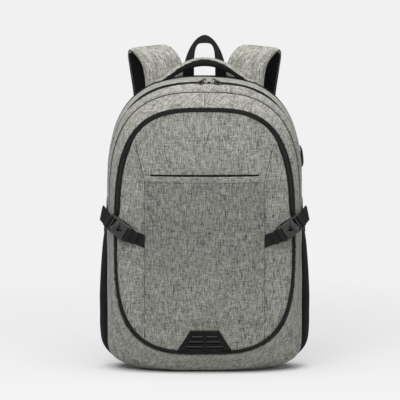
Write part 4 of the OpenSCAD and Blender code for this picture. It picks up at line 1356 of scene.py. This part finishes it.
def yokePoint(u, v):
    w, low, high = back["yoke"]
    a, b = 2 * u - 1, 2 * v - 1
    x = w / 2 * a * (1 - 0.02 * b ** 8)
    z = (low + high) / 2 + (high - low) / 2 * b * (1 - 0.10 * abs(a) ** 14)
    return Vector((x, 0.0742, z))


def tabPoint(u, v):
    half = lerp(0.0155, 0.0130, v)
    return Vector((0.118 + half * (2 * u - 1), 0.0736, lerp(0.0242, 0.0520, v)))


def makeBackPad(name, node, mid, wide, low, high):
    cols, rows = int(wide / back["padCell"]), int((high - low) / back["padCell"])
    place = padPoint(mid, wide, low, high, back["padThick"] - 0.0008)
    pad = gridPiece(name, cols, rows, place, flip=True, flatUv=flatXz)
    plump(pad, 0.0012, lambda c: c.y < back["y"] + 0.002)
    count = max(1, int((high - low) / back["every"]))
    channels(pad, [lerp(low, high, (i + 1) / (count + 1)) for i in range(count)], *back["channel"])
    thicken(pad, back["padCloth"])
    dress(pad, "backMesh", "air_mesh", "bag", node, 60)


def makeBack():
    # the back cloth and pads take the lightened back mesh: painted light
    clothPiece("backCloth", ringCount, 20, backPoint, back["thick"], "backMesh", "air_mesh", "bag", "back_panel",
               ring=True, flatUv=flatXz)
    wide, apart = back["padWide"], (back["padWide"] + back["padGap"]) / 2
    for word, cap, side in bothSides:
        makeBackPad("backPad" + cap, "back_pad_" + word, side * apart, wide, *back["pads"])
    makeBackPad("lumbarPad", "lumbar_pad", 0.0, *back["lumbar"])
    clothPiece("strapYoke", 90, 24, yokePoint, back["yokeThick"], "webbing", "webbing", "bag", "strap_yoke",
               edge=0.0006, flip=True, flatUv=flatXz)
    for word, cap, side in bothSides:
        tab = mirrorPiece(gridPiece("strapTab" + cap, 12, 12, tabPoint, flip=True), -side)
        thicken(tab, back["tabThick"])
        soften(tab, 0.0005, 2, 50)
        dress(tab, "webbing", "webbing", "bag", "strap_anchor_" + word)


makeStraps()
makeBack()
print("straps and back made")

# charging port on the right side
port = {"y": 0.022, "z": 0.330, "long": 0.034, "wide": 0.019, "proud": 0.004, "open": (0.0039, 0.0077),
        "lift": 0.0022, "socketBack": 0.0016, "thick": 0.0012}


def portPoint(u, v):
    y, z = port["y"] + port["wide"] * (u - 0.5), port["z"] + port["long"] * (v - 0.5)
    a, b = 2 * u - 1, 2 * v - 1
    y = port["y"] + (y - port["y"]) * sqrt(1 - 0.16 * b * b)
    z = port["z"] + (z - port["z"]) * sqrt(1 - 0.10 * a * a)
    bump = (1 - abs(b) ** 4) * (1 - abs(a) ** 4)
    return Vector((sideX(y, z) + port["lift"] + 0.0010 + (port["proud"] - 0.0012) * bump, y, z))


def inPort(p):
    y, z = port["open"]
    return abs(p.center.y - port["y"]) < y and abs(p.center.z - port["z"]) < z


def makePort():
    shell = gridPiece("portShell", 48, 84, portPoint)
    pickFaces(shell, inPort)
    bpy.ops.mesh.delete(type="FACE")
    donePicking()
    thicken(shell, port["thick"])
    dress(shell, "rubber", "patch_rubber", "bag", "usb_housing", 50)
    socket = nodeCopy("portSocket", "usb_socket", 0.0002)
    for v in socket.data.vertices:
        v.co.x += port["lift"] - port["socketBack"]
    dress(socket, "metal", "zip_metal", "bag", angle=35)


# main zip sliders with ring pulls that lie forward over the crown
pull = {"bail": 0.0052, "droop": radians(14), "turn": radians(65), "dip": radians(28),
        "link": 0.003, "x": (0.0, 0.014), "fuller": 0.00045, "sliderEdge": 0.00045, "edge": 0.00035}


def layForward(obj, side):
    x = pull["x"][side > 0]
    at = Vector((x, bag["zipTop"], topHeight(bag["zipTop"], x) + pull["bail"]))
    c, s = cos(pull["droop"]), sin(pull["droop"])
    arm, up, front = Vector((side * c, 0, -s)), Vector((side * s, 0, c)), Vector((0, -1, 0))
    for v in obj.data.vertices:
        d = v.co - at
        a, b, h = d.dot(arm), d.dot(front), d.dot(up)
        bend = ease((a - 0.0016) / 0.0026)
        t, dip = pull["turn"] * bend, pull["dip"] * bend
        run = Vector((side * cos(t), -sin(t), 0))
        over = Vector((-side * sin(t), -cos(t), 0))
        lean = run * cos(dip) - Vector((0, 0, sin(dip)))
        rise = run * sin(dip) + Vector((0, 0, cos(dip)))
        near = min(a, pull["link"])
        v.co = at + Vector((side * near, 0, 0)) + lean * (a - near) + over * b + rise * h


def makeSliders():
    for word, cap, side in bothSides:
        slider = nodeCopy("zipSlider" + cap, "main_slider_" + word, pull["sliderEdge"], 3)
        dress(slider, "metal", "zip_metal", "slider_" + word, angle=35)
        ring = nodeCopy("zipPull" + cap, "main_pull_" + word, pull["edge"], 3)
        m = ring.modifiers.new("cast", "DISPLACE")
        m.strength, m.mid_level = pull["fuller"], 0.0
        applyStack(ring)
        layForward(ring, side)
        dress(ring, "pull", "zip_metal", "pull_" + word, angle=35)


# inside: laptop sleeve, divider and base board
inside = {"sleeveY": 0.0428, "sleeveLow": 0.0078, "sleeveTop": 0.330, "sleeveThick": 0.0020, "hem": (0.016, 0.0028),
          "dividerY": -0.0570, "dividerThick": 0.0014}


def sleevePoint(u, v):
    z = lerp(inside["sleeveLow"], inside["sleeveTop"], v ** 1.4)
    x = halfWidth(grown(shapeAt(0.044), -0.0042), z) * (2 * u - 1)
    return Vector((x, inside["sleeveY"] - 0.0008 - 0.0006 * cos(z * 160) * pinch(u), z))


def dividerPoint(u, v):
    ex, ez = outlineAt(grown(shapeAt(-0.058), -0.0036), u * ringCount)
    return Vector((ex * v, inside["dividerY"] + 0.0006 * sin(pi * v), lerp(0.23, ez, v)))


def makeInside():
    sleeve = clothPiece("laptopSleeve", 60, 72, sleevePoint, inside["sleeveThick"], "lining", "lining_cloth", "bag",
                        "laptop_sleeve", flatUv=flatXz)
    path = [sleevePoint(i / 60, 1.0) + Vector((0, 0.001, 0)) for i in range(1, 60)]
    hem = stripPiece("sleeveHem", path, (0, 0, 1), lambda t: webbingSection(*inside["hem"]))
    dress(hem, "webbing", "webbing", "bag")
    clothPiece("dividerCloth", ringCount, 14, dividerPoint, inside["dividerThick"], "lining", "lining_cloth",
               "front_half", "divider_panel", offset=0.0, ring=True, flip=True, flatUv=flatXz)
    board = nodeCopy("baseBoard", "base_board", 0.0005)
    dress(board, "board", "base_plastic", "bag", angle=35)


makePort()
makeSliders()
makeInside()
print("port, sliders and inside made")
